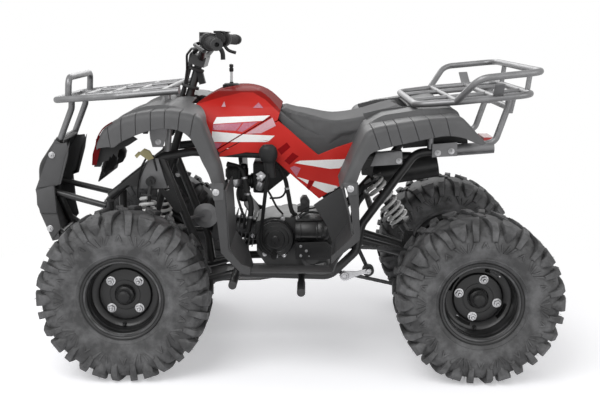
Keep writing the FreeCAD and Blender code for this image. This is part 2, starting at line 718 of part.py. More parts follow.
grip_start = grip_end - inner_run * grip_length
grip = fused([rod(grip_start, inner_run, grip_length, grip_radius),
              rod(grip_start, inner_run, plate_thickness, grip_radius * 1.35)])
pod_length = 34.0
perch_gap = 2.0
pod_start = grip_start - inner_run * (pod_length + perch_gap)
pod = rod(pod_start, inner_run, pod_length, grip_radius * 1.25)
perch_length = 20.0
perch_start = pod_start - inner_run * (perch_length + perch_gap)
perch = rod(perch_start, inner_run, perch_length, grip_radius * 1.1)
perch_middle = perch_start + inner_run * (perch_length / 2)
lever_reach = 18.0
lever_drop = 4.0
lever_radius = 5.0
lever_bend = 20.0
lever_root = perch_middle + V(lever_reach, 0, -lever_drop)
lever_knee = lever_root + V(lever_reach, lever_reach, -lever_drop)
lever_end = grip_end + V(2 * lever_reach, -lever_reach, -lever_reach)
lever = bar([lever_root, lever_knee, lever_end], lever_radius, lever_bend)
reservoir_radius = 13.0
reservoir_height = 22.0
reservoir = rod(pod_start + V(reservoir_radius, -perch_length / 2, lever_drop), V(0, 0, 1),
                reservoir_height, reservoir_radius)
controls = fused([pod, perch, lever, reservoir, bar([perch_middle, lever_root], lever_radius * 1.4)])
bore_points = bar_points[:-1] + [bar_points[-1] + inner_run * seat_gap]
bar_room = bar(bore_points, bar_radius + seat_gap, bar_bend_radius)
controls = controls.cut(bar_room).cut(grip)
end_hole = rod(grip_end - inner_run * grip_hole_length, inner_run, grip_hole_length + cut_overrun,
               grip_hole_radius)
grip = grip.cut(bar_room).cut(end_hole)
save("grips", both_sides(grip))

# Two control cables run from the perches to the front of the stem, where a clip holds them
cable_radius = 3.5
cable_shares = [(0.2837, 0.4444, 1.1450), (0.3082, 0.3667, 1.1387), (0.3286, 0.2444, 1.1350),
                (0.3520, 0.1022, 1.1100), (0.3561, 0.0356, 1.0562), (0.3663, 0.0289, 0.9775),
                (0.3827, 0.0267, 0.9150), (0.4092, 0.0267, 0.8025)]
cable_bend = 24.0
clip_share = 0.72
clip_radius = 22.0
clip_height = 8.0
cable = bar(places(cable_shares), cable_radius, cable_bend)
clip = centred_rod(on_column(clip_share), column_axis, clip_height, clip_radius)
stem_room = rod(column_foot, column_axis, column_length, stem_radius + seat_gap)
clip = clip.cut(stem_room)
cable = cable.cut(bar_room)
hand_controls = fused(both_sides(controls) + both_sides(cable) + [clip]).cut(handlebar)
save("hand_controls", [hand_controls])

# Front rack

outer_rail_bend = 40.0
inner_rail_bend = 20.0
hoop_bend = 22.0
rack_leg_bend = 30.0
rack_outer_shares = [(0.7296, 0.0000, 0.9525), (0.7296, 0.3378, 0.9525), (0.7041, 0.3733, 0.9563),
                     (0.5327, 0.5244, 0.9750), (0.3480, 0.5822, 0.9962)]
rack_inner_shares = [(0.7143, 0.2133, 0.9550), (0.7041, 0.2311, 0.9575), (0.5327, 0.2400, 0.9775),
                     (0.4000, 0.2489, 0.9962)]
rack_pieces = []
outer_rail = bar(places(rack_outer_shares), light_tube_radius, outer_rail_bend)
rack_pieces += both_sides(outer_rail)
inner_rail = bar(places(rack_inner_shares), light_tube_radius * 0.8, inner_rail_bend)
rack_pieces += both_sides(inner_rail)
crossbar_shares = [(0.6531, 0.4133, 0.9625), (0.5714, 0.4844, 0.9712), (0.4878, 0.5333, 0.9812),
                   (0.4000, 0.5644, 0.9912)]
for share in crossbar_shares:
    end = at(*share)
    rack_pieces.append(centred_rod(V(end.x, 0, end.z), LEFT, 2 * end.y, light_tube_radius * 0.8))
front_hoop_shares = [(0.6959, 0.3067, 0.9575), (0.6918, 0.3067, 1.0325), (0.6918, -0.3067, 1.0325),
                     (0.6959, -0.3067, 0.9575)]
rack_pieces.append(bar(places(front_hoop_shares), light_tube_radius, hoop_bend))
rack_leg_shares = [(0.6980, 0.1956, 0.9575), (0.7000, 0.1956, 0.9150), (0.7388, 0.1956, 0.8000)]
rear_leg_shares = [(0.4061, 0.2444, 0.9938), (0.4000, 0.2444, 0.8750), (0.4082, 0.2489, 0.7575)]
for shares in (rack_leg_shares, rear_leg_shares):
    rack_pieces += both_sides(bar(places(shares), light_tube_radius, rack_leg_bend))
front_rack = fused(rack_pieces)

# Bumper: tubular guard with two stays back to the frame, and its moulded cover

bumper_bend = 60.0
bumper_shares = [(0.7388, 0.1956, 0.8000), (0.7959, 0.1956, 0.7000), (0.8000, 0.1956, 0.5500),
                 (0.7592, 0.1956, 0.4313)]
stay_shares = [[(0.7939, 0.1956, 0.6100), (0.6041, 0.2289, 0.5500)],
               [(0.7714, 0.1956, 0.4650), (0.6082, 0.2289, 0.3125)]]
bumper_pieces = both_sides(bar(places(bumper_shares), main_tube_radius, bumper_bend))
for shares in stay_shares:
    bumper_pieces += both_sides(bar(places(shares), light_tube_radius))
for share in ((0.7980, 0.1956, 0.6250), (0.7592, 0.1956, 0.4313), (0.7388, 0.1956, 0.8000)):
    end = at(*share)
    bumper_pieces.append(centred_rod(V(end.x, 0, end.z), LEFT, 2 * end.y, light_tube_radius))
bumper = fused(bumper_pieces)
front_rack = front_rack.cut(bumper)
bumper = bumper.cut(frame)
front_rack = front_rack.cut(frame)
save("front_rack", [front_rack])
save("bumper", [bumper])
cover_front_shares = [(0.7500, 0.8025), (0.7878, 0.7000), (0.8163, 0.6138), (0.8082, 0.5350),
                      (0.7724, 0.4163)]
cover_back_shares = [(0.7490, 0.4225), (0.7673, 0.5350), (0.7673, 0.6188), (0.7429, 0.7000),
                     (0.7102, 0.7700)]
cover_side_room = 24.0
cover_half_width = at(*bumper_shares[0]).y + cover_side_room


def outline(shares, y_low, y_high):
    return side_plate(shares, y_low, y_high)


cover_front = [at(x, 0, z) for x, z in cover_front_shares]
cover_inner = offset_line(cover_front, moulding_wall)
cover_back = [at(x, 0, z) for x, z in cover_back_shares]
cover_cut = cover_inner + [p - V(cut_overrun * 2, 0, 0) for p in cover_back]
bumper_cover = outline(cover_front_shares + cover_back_shares, -cover_half_width, cover_half_width)
hollow = face_of([p - V(0, cover_half_width - moulding_wall, 0) for p in cover_cut])
hollow = hollow.extrude(V(0, 2 * (cover_half_width - moulding_wall), 0))
bumper_cover = bumper_cover.cut(hollow).cut(bumper).cut(front_rack)
save("bumper_cover", [bumper_cover])

# Front fenders: one moulding with a crowned top, outboard flanges and a bonnet between them

fender_inset = 48.0
fender_y = half_width - fender_inset
bonnet_share = (0.0000, 0.3378, 0.0000)
bonnet_y = at(*bonnet_share).y
fender_top_shares = [(0.5837, 0.7650), (0.5592, 0.8350), (0.5306, 0.8825), (0.4796, 0.9100),
                     (0.3847, 0.9337), (0.3031, 0.9313), (0.2673, 0.9075), (0.2408, 0.8350),
                     (0.2163, 0.7500), (0.2082, 0.6850)]
fender_edge_shares = [(0.2388, 0.6825), (0.2592, 0.7512), (0.3122, 0.8575), (0.3592, 0.8800),
                      (0.4061, 0.8750), (0.4990, 0.8187), (0.5469, 0.7925), (0.5735, 0.7550)]
bonnet_shares = fender_top_shares[1:6]
fender_sheet = strip(curved(fender_top_shares, 3), moulding_wall, bonnet_y, fender_y)
fender_rim_shares = curved(fender_top_shares, 3) + curved(fender_edge_shares, 2)
fender_flange = outline(fender_rim_shares, fender_y - moulding_wall, fender_y)
rib_shares = [(0.5510, 0.8450), (0.5041, 0.9000), (0.4449, 0.9187), (0.3847, 0.9337), (0.3245, 0.9325),
              (0.2673, 0.9075), (0.2306, 0.8000)]
rib_radius = 3.0
fender_ribs = []
for x, z in rib_shares:
    spot = at(x, (fender_y + bonnet_y) / overall_width, z) - V(moulding_wall / 2, 0, moulding_wall)
    fender_ribs.append(centred_rod(spot, LEFT, fender_y - bonnet_y, rib_radius))
bonnet = strip(curved(bonnet_shares, 3), moulding_wall, -bonnet_y, bonnet_y)
fenders = fused(both_sides(fused([fender_sheet, fender_flange] + fender_ribs)) + [bonnet])
column_hole = rod(column_foot, column_axis, column_length, 3.4 * stem_radius)

# Nose panel below the bonnet, with two round headlamps

nose_half_width = 136.0
nose_shares = [(0.5673, 0.8000), (0.5939, 0.7375), (0.6184, 0.6500)]
lamp_radius = 42.0
lamp_play = 1.0
bowl_depth = 30.0
dome_height = 14.0
lamp_y = 72.0
nose = strip(nose_shares, moulding_wall, -nose_half_width, nose_half_width)
lamp_share = (0.6000, 0.0000, 0.7188)
lamp_axis = V(0.93, 0, 0.36)
# Profiles hold (radius, distance along the axis) pairs
bowl_radius = lamp_radius - lamp_play
bowl_profile = [(0, -bowl_depth), (lamp_radius * 0.5, -26.0), (bowl_radius, -4.0), (bowl_radius, 6.0),
                (lamp_radius * 0.6, 12.0), (0, dome_height)]
lamps = []
for side in (-1, 1):
    lamp_centre = at(*lamp_share) + V(0, side * lamp_y, 0)
    nose = nose.cut(centred_rod(lamp_centre, lamp_axis, 4 * cut_overrun, lamp_radius))
    bowl = turned(bowl_profile, lamp_centre, lamp_axis)
    lamps.append(bowl)
nose = nose.cut(frame).cut(bumper).cut(fenders)
lamps = [lamp.cut(nose).cut(frame) for lamp in lamps]
save("nose_panel", [nose])
save("headlamps", lamps)

# Tank cover and side panels share one cross-section, so their faces run flush at the parting line

section_shares = [(0.0, 1.000), (0.13, 0.996), (0.25, 0.970), (0.32, 0.925), (0.362, 0.870), (0.39, 0.800),
                  (0.396, 0.730), (0.382, 0.580)]
section_shares = curved(section_shares, 3)
crown_share = 0.90
body_back = -0.22
body_front = 0.36


def section_solid(inset):
    """The body cross-section run from behind the side panels to the tip of the tank cover."""
    x = at(body_back, 0, 0).x
    right = [V(x, y * half_width, z * body_height) for y, z in section_shares]
    crown = crown_share * body_height
    line = [V(p.x, p.y - inset, p.z - (inset if p.z > crown else 0)) for p in right]
    line[0] = V(x, 0, line[0].z)
    left = [V(p.x, -p.y, p.z) for p in line[:0:-1]]
    return face_of(line + left).extrude(V((body_front - body_back) * wheelbase, 0, 0))


outer_section = section_solid(0)
inner_section = section_solid(moulding_wall)
tank_line_shares = [(0.2449, 0.7650), (0.2888, 0.8438), (0.3367, 0.9125), (0.3061, 0.9463),
                    (0.2449, 0.9850), (0.1714, 0.9962), (0.1122, 0.9712), (0.0643, 0.9163),
                    (0.0724, 0.8812)]
tank_line_shares = tank_line_shares[:2] + curved(tank_line_shares[2:8], 4) + tank_line_shares[8:]
tank_top = [at(x, 0, z) for x, z in tank_line_shares]
tank_inner = offset_line(tank_top, -moulding_wall)
crest = len(tank_top) // 2
if tank_inner[crest].z > tank_top[crest].z:
    tank_inner = offset_line(tank_top, moulding_wall)
far_below = [tank_inner[-1] - V(0, 0, 3 * cut_overrun), tank_inner[0] - V(0, 0, 3 * cut_overrun)]
across = V(0, 2 * half_width, 0)
tank_outer_solid = face_of([p - across / 2 for p in tank_top]).extrude(across).common(outer_section)
tank_inner_solid = face_of([p - across / 2 for p in tank_inner + far_below]).extrude(across).common(inner_section)
tank_cover = tank_outer_solid.cut(tank_inner_solid).cut(frame)
fenders = fenders.cut(column_hole).cut(front_rack).cut(tank_outer_solid)

panel_shares = [(0.2439, 0.7625), (0.2449, 0.7488), (0.1633, 0.7662), (0.1020, 0.7625), (0.0571, 0.7125),
                (0.0000, 0.6500), (-0.0510, 0.5950), (-0.1276, 0.6550), (-0.1612, 0.8000),
                (-0.1551, 0.8063), (-0.1020, 0.7850), (-0.0480, 0.7575), (-0.0061, 0.8000),
                (0.0408, 0.8500), (0.0704, 0.8788)]
panel_cut = outer_section.cut(inner_section)
side_panel = side_plate(panel_shares, 0, half_width).common(panel_cut)
save("side_panels", both_sides(side_panel))
fenders = fenders.cut(side_panel).cut(mirrored(side_panel))
save("front_fenders", [fenders])

cap_share = (0.2204, 0.0000, 0.9850)
cap_radius = 26.0
cap_lip = 9.0
vent_radius = 4.0
vent_height = 34.0
cap_sink = 20.0
cap_seat = 2.0
cap_top = 13.0
cap_profile = [(0, -cap_sink), (cap_radius * 0.8, -cap_sink), (cap_radius * 0.8, cap_seat),
               (cap_radius, cap_seat), (cap_radius, cap_lip), (cap_radius * 0.8, cap_top),
               (vent_radius, cap_top), (vent_radius, vent_height), (0, vent_height)]
cap = turned(cap_profile, at(*cap_share), V(0, 0, 1))
tank_cover = tank_cover.cut(cap)
save("tank_cover", [tank_cover])
save("fuel_cap", [cap])

# Seat: one long cushion, narrow at the nose

seat_top_shares = [(0.0776, 0.8900), (0.0653, 0.9225), (0.0204, 0.9025), (-0.0612, 0.8888),
                   (-0.1122, 0.8888), (-0.1796, 0.9025), (-0.2449, 0.9275), (-0.2980, 0.9450),
                   (-0.3082, 0.9300)]
seat_low_shares = [(-0.3082, 0.8700), (-0.1592, 0.8137), (-0.1020, 0.7925), (-0.0480, 0.7650),
                   (-0.0061, 0.8075), (0.0408, 0.8588)]
seat_section_shares = [(0.0, 0.96), (0.20, 0.955), (0.28, 0.94), (0.328, 0.90), (0.34, 0.86), (0.34, 0.74)]
seat_plan_shares = [(0.09, 0.0), (0.09, 0.16), (0.03, 0.24), (-0.08, 0.33), (-0.42, 0.34), (-0.42, 0.0)]
x = at(-0.45, 0, 0).x
seat_side = [V(x, y * half_width, z * body_height) for y, z in curved(seat_section_shares, 3)]
seat_other = [V(p.x, -p.y, p.z) for p in seat_side[:0:-1]]
seat_block = face_of(seat_side + seat_other).extrude(V(0.6 * wheelbase, 0, 0))
plan = [at(px, py, 0) for px, py in seat_plan_shares]
plan_other = [V(p.x, -p.y, p.z) for p in plan[-2:0:-1]]
seat_plan = face_of(plan + plan_other).extrude(V(0, 0, 2 * body_height))
seat_outline = seat_top_shares[:1] + curved(seat_top_shares[1:], 3) + seat_low_shares
seat = side_plate(seat_outline, -half_width, half_width).common(seat_block).common(seat_plan)
seat = seat.cut(tank_outer_solid)
save("seat", [seat])

# Rear fenders with the tail between them

rear_fender_inset = 54.0
rear_fender_y = half_width - rear_fender_inset
rear_inner_share = (0.0000, 0.3467, 0.0000)
rear_inner_y = at(*rear_inner_share).y
rear_top_shares = [(-0.1102, 0.6950), (-0.1490, 0.8000), (-0.1816, 0.8750), (-0.2449, 0.8950),
                   (-0.3367, 0.9125), (-0.4296, 0.9200), (-0.4490, 0.9025), (-0.5010, 0.8350)]
rear_edge_shares = [(-0.4878, 0.8275), (-0.4143, 0.8625), (-0.3061, 0.8400), (-0.1990, 0.8063),
                    (-0.1306, 0.6950)]
rear_sheet = strip(rear_top_shares, -moulding_wall, rear_inner_y, rear_fender_y)
rear_flange = outline(rear_top_shares + rear_edge_shares, rear_fender_y - moulding_wall, rear_fender_y)
tail_shares = [(-0.3122, 0.9350), (-0.4031, 0.9550), (-0.4388, 0.9225), (-0.5010, 0.8350)]
tail = strip(tail_shares, -moulding_wall, -rear_inner_y, rear_inner_y)
inner_wall_shares = [(-0.1755, 0.9087), (-0.2367, 0.9275), (-0.3367, 0.9450), (-0.4031, 0.9550),
                     (-0.4388, 0.9225), (-0.4857, 0.8550), (-0.4694, 0.8450), (-0.2041, 0.8125)]
inner_wall = outline(inner_wall_shares, rear_inner_y, rear_inner_y + moulding_wall)
rear_fender = fused(both_sides(fused([rear_sheet, rear_flange, inner_wall])) + [tail])
rear_fender = rear_fender.cut(seat).cut(side_panel).cut(mirrored(side_panel))

# Rear rack: a deck loop, a raised guard rail and two supports from the frame

rail_bend = 45.0
support_bend = 30.0
deck_shares = [(-0.3245, 0.0000, 0.9463), (-0.3245, 0.5333, 0.9463), (-0.4388, 0.6133, 0.9600),
               (-0.6551, 0.5733, 0.9838), (-0.6551, 0.0000, 0.9838)]
guard_shares = [(-0.4347, 0.6311, 0.9625), (-0.4878, 0.7556, 1.0450), (-0.6633, 0.7289, 1.0662),
                (-0.6633, 0.0000, 1.0662)]
deck_inner_shares = [(-0.3245, 0.2489, 0.9463), (-0.6551, 0.2489, 0.9838)]
deck_cross_shares = [(-0.4388, 0.6089, 0.9600), (-0.5510, 0.5911, 0.9725)]
post_shares = [(-0.6551, 0.4000, 0.9838), (-0.6633, 0.4000, 1.0662)]
support_y = at(*(0.0000, 0.3733, 0.0000)).y
support_shares = [(-0.4796, 0.3733, 0.7762), (-0.5704, 0.3733, 0.8050), (-0.6041, 0.3733, 0.9300),
                  (-0.6122, 0.3733, 0.9788)]
front_support_shares = [(-0.3796, 0.3733, 0.7675), (-0.3796, 0.3733, 0.9525)]
side_pieces = [bar(places(shares), light_tube_radius, rail_bend) for shares in (deck_shares, guard_shares)]
for shares in (deck_inner_shares, post_shares):
    side_pieces.append(bar(places(shares), light_tube_radius * 0.8))
for shares in (support_shares, front_support_shares):
    side_pieces.append(bar(places(shares), light_tube_radius, support_bend))
cross_pieces = []
for share in deck_cross_shares:
    end = at(*share)
    cross_pieces.append(centred_rod(V(end.x, 0, end.z), LEFT, 2 * end.y, light_tube_radius * 0.8))
support_foot = at(*support_shares[2])
cross_pieces.append(centred_rod(V(support_foot.x, 0, support_foot.z), LEFT, 2 * support_foot.y,
                                light_tube_radius))
# Flat tabs hold the guard rail above the deck, and bolted plates join the rack to the frame
guard_tab_shares = [(-0.5673, 0.9800), (-0.5388, 0.9775), (-0.5347, 1.0500), (-0.5633, 1.0525)]
guard_tab_y = at(*guard_shares[1]).y
guard_tab = side_plate(guard_tab_shares, 0, plate_thickness)
guard_tab_low_y = at(*deck_cross_shares[1]).y
guard_tab_lean = math.atan2(guard_tab_y - guard_tab_low_y, at(0, 0, guard_tab_shares[3][1]).z
                            - at(0, 0, guard_tab_shares[0][1]).z)
guard_tab.translate(V(0, guard_tab_low_y, 0))
guard_tab.rotate(V(0, guard_tab_low_y, at(0, 0, guard_tab_shares[0][1]).z), V(-1, 0, 0),
                 math.degrees(guard_tab_lean))
rack_tab_shares = [[(-0.6306, 0.9825), (-0.5959, 0.9775), (-0.5959, 0.9075), (-0.6184, 0.9075)],
                   [(-0.3959, 0.9575), (-0.3612, 0.9525), (-0.3653, 0.8900), (-0.3939, 0.8900)]]
rack_tabs = [side_plate(shares, support_y - plate_thickness / 2, support_y + plate_thickness / 2)
             for shares in rack_tab_shares]
rack_plate_shares = [(-0.3837, 0.7975), (-0.4571, 0.8050), (-0.4571, 0.7550), (-0.3837, 0.7500)]
rack_plate_y = support_y + main_tube_radius
rack_plate = side_plate(rack_plate_shares, rack_plate_y, rack_plate_y + plate_thickness)
side_pieces += [guard_tab, rack_plate] + rack_tabs
rear_rack = fused(both_sides(fused(side_pieces)) + cross_pieces)
rear_rack = rear_rack.cut(frame)
save("rear_rack", [rear_rack])
rear_fender = rear_fender.cut(rear_rack)
save("rear_fenders", [rear_fender])

# Footwells: leg shield, floor and rear riser in one moulding on each side

footwell_inset = 20.0
footwell_inner_share = (0.0000, 0.4356, 0.0000)
footwell_inner_y = at(*footwell_inner_share).y
footwell_outer_y = half_width - footwell_inset
shield_wall_shares = [(0.2082, 0.6825), (0.2041, 0.5875), (0.2000, 0.4800), (0.1633, 0.4125),
                      (0.1490, 0.3500)]
riser_wall_shares = [(-0.0857, 0.3500), (-0.1020, 0.4450), (-0.1429, 0.5150), (-0.1327, 0.6000),
                     (-0.1122, 0.6900)]
shield_shares = [(0.2082, 0.6825), (0.2041, 0.5875), (0.2000, 0.4800), (0.1633, 0.4275), (0.1408, 0.4175),
                 (0.1418, 0.3925), (0.1633, 0.3975), (0.2071, 0.4500), (0.2204, 0.4700), (0.2388, 0.6825)]
rail_shares = [(0.1408, 0.4225), (-0.0786, 0.4350), (-0.1020, 0.4450), (-0.1429, 0.5150),
               (-0.1327, 0.6000), (-0.1122, 0.6900), (-0.0959, 0.6900), (-0.1143, 0.6000),
               (-0.1204, 0.5150), (-0.0898, 0.4400), (-0.0786, 0.4025), (0.1418, 0.3912)]
floor_front_share = (0.1490, 0.0000, 0.3450)
floor_back_share = (-0.0857, 0.0000, 0.3450)
floor_rise = 42.0
wall_outer_y = footwell_outer_y - moulding_wall
walls = [strip(shares, moulding_wall, footwell_inner_y, wall_outer_y)
         for shares in (shield_wall_shares, riser_wall_shares)]
shield = outline(shield_shares, footwell_outer_y - 2 * moulding_wall, footwell_outer_y)
rail = outline(rail_shares, footwell_outer_y - 2 * moulding_wall, footwell_outer_y)
floor_start = at(*floor_back_share)
floor_section = [V(floor_start.x, footwell_inner_y, floor_start.z),
                 V(floor_start.x, wall_outer_y, floor_start.z + floor_rise),
                 V(floor_start.x, wall_outer_y, floor_start.z + floor_rise + moulding_wall),
                 V(floor_start.x, footwell_inner_y, floor_start.z + moulding_wall)]
footwell_floor = face_of(floor_section).extrude(V(at(*floor_front_share).x - floor_start.x, 0, 0))
riser_side_shares = [(-0.0857, 0.3625), (-0.0898, 0.4400), (-0.0735, 0.5025), (-0.0347, 0.5775),
                     (-0.0510, 0.5925), (-0.1245, 0.6488), (-0.1327, 0.6000), (-0.1429, 0.5150),
                     (-0.1020, 0.4450)]
riser_side = outline(riser_side_shares, footwell_inner_y, footwell_inner_y + moulding_wall)
footwell = fused(walls + [shield, rail, footwell_floor, riser_side])
peg_shares = [[(0.1908, 0.2489, 0.2925), (0.1908, 0.4178, 0.3525), (0.1908, 0.9467, 0.3550)],
              [(0.0010, 0.2822, 0.2925), (0.0010, 0.4000, 0.3275), (0.0010, 0.9467, 0.3300)]]
peg_pad_length = 96.0
peg_bend = 24.0
pegs = []
for shares in peg_shares:
    line = places(shares)
    pegs.append(bar(line, light_tube_radius, peg_bend))
    pegs.append(rod(line[-1] - V(0, peg_pad_length, 0), LEFT, peg_pad_length + seat_gap,
                    light_tube_radius * 1.2))
pegs = [fused(pegs[:2]).cut(frame), fused(pegs[2:]).cut(frame)]
footwell = footwell.cut(pegs + [fenders, rear_fender, side_panel])
save("footwells", both_sides(footwell))
save("foot_pegs", pegs + [mirrored(peg) for peg in pegs])

skid_shares = [(0.6082, 0.2700), (0.5776, 0.2400), (0.3061, 0.2425), (0.2449, 0.2562), (0.1327, 0.2587),
               (0.0612, 0.2737), (-0.0714, 0.2762), (-0.1020, 0.2950)]
skid_half_share = (0.0000, 0.2133, 0.0000)
skid_half = at(*skid_half_share).y
skid = strip(skid_shares, moulding_wall, -skid_half, skid_half).cut(frame)
save("skid_plate", [skid])
# Engine: crankcase with its round covers, finned cylinder and head lying forward

case_half_width = 92.0
case_shares = [(0.1418, 0.3700), (0.1418, 0.4875), (0.0980, 0.5038), (-0.0612, 0.5038), (-0.0939, 0.4750),
               (-0.1000, 0.4000), (-0.0735, 0.3275), (0.0000, 0.3100), (0.1122, 0.3175)]
magneto_share = (0.0827, 0.0000, 0.4263)
magneto_radius = 58.0
magneto_depth = 34.0
clutch_share = (0.0408, 0.0000, 0.4125)
clutch_radius = 74.0
clutch_depth = 40.0
crankcase = side_plate(case_shares, -case_half_width, case_half_width)
magneto_centre = at(*magneto_share) + V(0, case_half_width, 0)
magneto = turned([(0, 0), (magneto_radius, 0), (magneto_radius, magneto_depth * 0.55),
                  (magneto_radius * 0.9, magneto_depth * 0.8), (magneto_radius * 0.5, magneto_depth * 0.85),
                  (magneto_radius * 0.45, magneto_depth), (0, magneto_depth)], magneto_centre, LEFT)
clutch_centre = at(*clutch_share) - V(0, case_half_width, 0)
clutch = turned([(0, 0), (clutch_radius, 0), (clutch_radius, clutch_depth * 0.7),
                 (clutch_radius * 0.85, clutch_depth), (0, clutch_depth)], clutch_centre, V(0, -1, 0))
output_share = (-0.0306, 0.0000, 0.3625)
output_centre = at(*output_share)
output_sprocket_radius = 25.5
output = rod(output_centre + V(0, case_half_width - plate_thickness, 0), LEFT,
             sprocket_y + sprocket_thickness - case_half_width, output_sprocket_radius * 0.6)
output_wheel = centred_rod(output_centre + V(0, sprocket_y, 0), LEFT, sprocket_thickness,
                           output_sprocket_radius)
starter_share = (0.0204, 0.2089, 0.4525)
starter_radius = 33.0
starter_length = 104.0
starter = turned([(0, 0), (starter_radius, 0), (starter_radius, starter_length * 0.12),
                  (starter_radius * 0.96, starter_length * 0.14),
                  (starter_radius * 0.96, starter_length * 0.8),
                  (starter_radius * 0.8, starter_length * 0.93), (starter_radius * 0.4, starter_length),
                  (0, starter_length)], at(*starter_share), V(-1, 0, 0))
engine_foot_radius = 14.0
engine_foot_shares = [(0.0612, 0.0000, 0.3050), (-0.0939, 0.0000, 0.4400)]
engine_feet = [centred_rod(at(*share), LEFT, 2 * case_half_width * 0.7, engine_foot_radius)
               for share in engine_foot_shares]
crankcase = fused([crankcase, magneto, clutch, output, output_wheel, starter] + engine_feet)
crankcase = crankcase.cut(frame)
save("crankcase", [crankcase])

cylinder_start_share = (0.1418, 0.0000, 0.4313)
cylinder_axis = V(0.985, 0, 0.17)
cylinder_length = 88.0
fin_count = 7
fin_width = 92.0
fin_height = 96.0
fin_thickness = 3.0
first_fin = 8.0
barrel_radius = 34.0
head_cap_radius = 30.0
head_cap_length = 14.0
head_length = 50.0
cylinder_start = at(*cylinder_start_share)
barrel = rod(cylinder_start, cylinder_axis, cylinder_length, barrel_radius)
pieces = [barrel]
tilt = FreeCAD.Rotation(V(1, 0, 0), cylinder_axis)
for step in range(fin_count):
    fin = Part.makeBox(fin_thickness, fin_width, fin_height, V(0, -fin_width / 2, -fin_height / 2))
    spot = cylinder_start + cylinder_axis * (first_fin + cylinder_length * step / fin_count)
    fin.Placement = FreeCAD.Placement(spot, tilt)
    pieces.append(fin)
head = Part.makeBox(head_length, fin_width * 0.86, fin_height * 0.9,
                    V(0, -fin_width * 0.43, -fin_height * 0.45))
head.Placement = FreeCAD.Placement(cylinder_start + cylinder_axis * cylinder_length, tilt)
head_cap = rod(cylinder_start + cylinder_axis * (cylinder_length + head_length), cylinder_axis,
               head_cap_length, head_cap_radius)
cylinder = fused(pieces + [head, head_cap]).cut(crankcase)
save("cylinder", [cylinder])

# Intake, carburettor and air box; exhaust pipe and muffler

intake_points = places([(0.2510, 0.0000, 0.5062), (0.2510, 0.0000, 0.5775), (0.2163, 0.0000, 0.6250),
                        (0.1796, 0.0000, 0.6250)])
air_box_low_share = (0.0306, -0.1378, 0.5850)
air_box_high_share = (0.1551, 0.1378, 0.7075)
carburettor_share = (0.2173, 0.0000, 0.6250)
air_box_front = V(at(*air_box_high_share).x - moulding_wall, 0, at(*carburettor_share).z)
carburettor_reach = at(*carburettor_share).x - air_box_front.x
intake_radius = 14.0
intake_bend = 24.0
throat_radius = 22.0
bowl_share = (0.1857, 0.0000, 0.5825)
float_bowl_length = 60.0
float_bowl_radius = 19.0
slide_share = (0.1857, 0.0000, 0.6625)
slide_length = 50.0
slide_radius = 15.0
carburettor = fused([
    bar(intake_points, intake_radius, intake_bend),
    rod(air_box_front, V(1, 0, 0), carburettor_reach, throat_radius),
    centred_rod(at(*bowl_share), V(0, 0, 1), float_bowl_length, float_bowl_radius),
    centred_rod(at(*slide_share), V(0, 0, 1), slide_length, slide_radius),
    box_between(at(*air_box_low_share), at(*air_box_high_share)),
]).cut(cylinder).cut(crankcase).cut(frame)
save("carburettor", [carburettor])
exhaust_radius = 13.0
exhaust_bend = 40.0
muffler_radius = 38.0
exhaust_points = places([(0.2531, -0.0222, 0.4075), (0.2490, -0.0889, 0.3450), (0.2000, -0.2711, 0.3425),
                         (0.1224, -0.3378, 0.3475), (-0.0510, -0.3467, 0.3750),
                         (-0.1327, -0.2489, 0.4900), (-0.2306, -0.2178, 0.6275)])
muffler_line = places([(-0.2306, -0.2178, 0.6275), (-0.4388, -0.2178, 0.6700)])
exhaust = fused([
    bar(exhaust_points, exhaust_radius, exhaust_bend),
    bar(muffler_line, muffler_radius),
]).cut(cylinder).cut(crankcase).cut(frame)
save("exhaust", [exhaust])

# Swingarm with the axle carrier, final drive chain and its tensioner

swing_pivot_share = (-0.1633, 0.0000, 0.4125)
swing_pivot = at(*swing_pivot_share)
swing_tube_radius = 14.0
swing_arm_y = 58.0
carrier_radius = 34.0
pivot_tube_length = 200.0
pivot_tube_radius = 17.0
pivot_tube = centred_rod(swing_pivot, LEFT, pivot_tube_length, pivot_tube_radius)
carrier = centred_rod(axle_centre, LEFT, carrier_length, carrier_radius)
arm_bars = [bar([swing_pivot + V(0, swing_arm_y, 0), axle_centre + V(0, swing_arm_y * 0.72, 0)],
                swing_tube_radius)]
bridge_point = swing_pivot + (axle_centre - swing_pivot) * 0.52
bridge = centred_rod(bridge_point, LEFT, 2 * swing_arm_y, swing_tube_radius * 0.8)
swing_ear_shares = [(-0.3612, 0.3350), (-0.3184, 0.3350), (-0.3245, 0.4325), (-0.3531, 0.4325)]
swing_ear = side_plate(swing_ear_shares, shock_eye_length / 2 + seat_gap,
                       shock_eye_length / 2 + seat_gap + plate_thickness)
swing_bolt = centred_rod(rear_shock_low, LEFT, shock_eye_length + 4 * plate_thickness, shock_bolt_radius)
tensioner_share = (-0.2041, 0.0000, 0.3075)
tensioner_radius = 18.0
roller_width = 16.0
roller_arm_radius = 6.0
roller_arm_inset = 14.0
roller_pin_start = 20.0
roller_pin_length = 30.0
roller_centre = at(*tensioner_share) + V(0, sprocket_y, 0)
roller = centred_rod(roller_centre, LEFT, roller_width, tensioner_radius)
roller_arm = bar([roller_centre - V(0, roller_arm_inset, 0),
                  swing_pivot + V(0, sprocket_y - roller_pin_length, 0)], roller_arm_radius)
roller_pin = rod(roller_centre - V(0, roller_pin_start, 0), LEFT, roller_pin_length, roller_arm_radius)
swingarm = fused([pivot_tube, carrier, bridge, swing_bolt, roller, roller_arm, roller_pin]
                 + both_sides(arm_bars[0]) + both_sides(swing_ear))
caliper_shares = [(-0.4490, 0.3275), (-0.4082, 0.3275), (-0.4041, 0.3750), (-0.4388, 0.3900)]
caliper_side_gap = 2.0
caliper_arm_share = (-0.4122, -0.1556, 0.3500)
caliper = side_plate(caliper_shares, brake_disc_y - boss_length, brake_disc_y + boss_length)
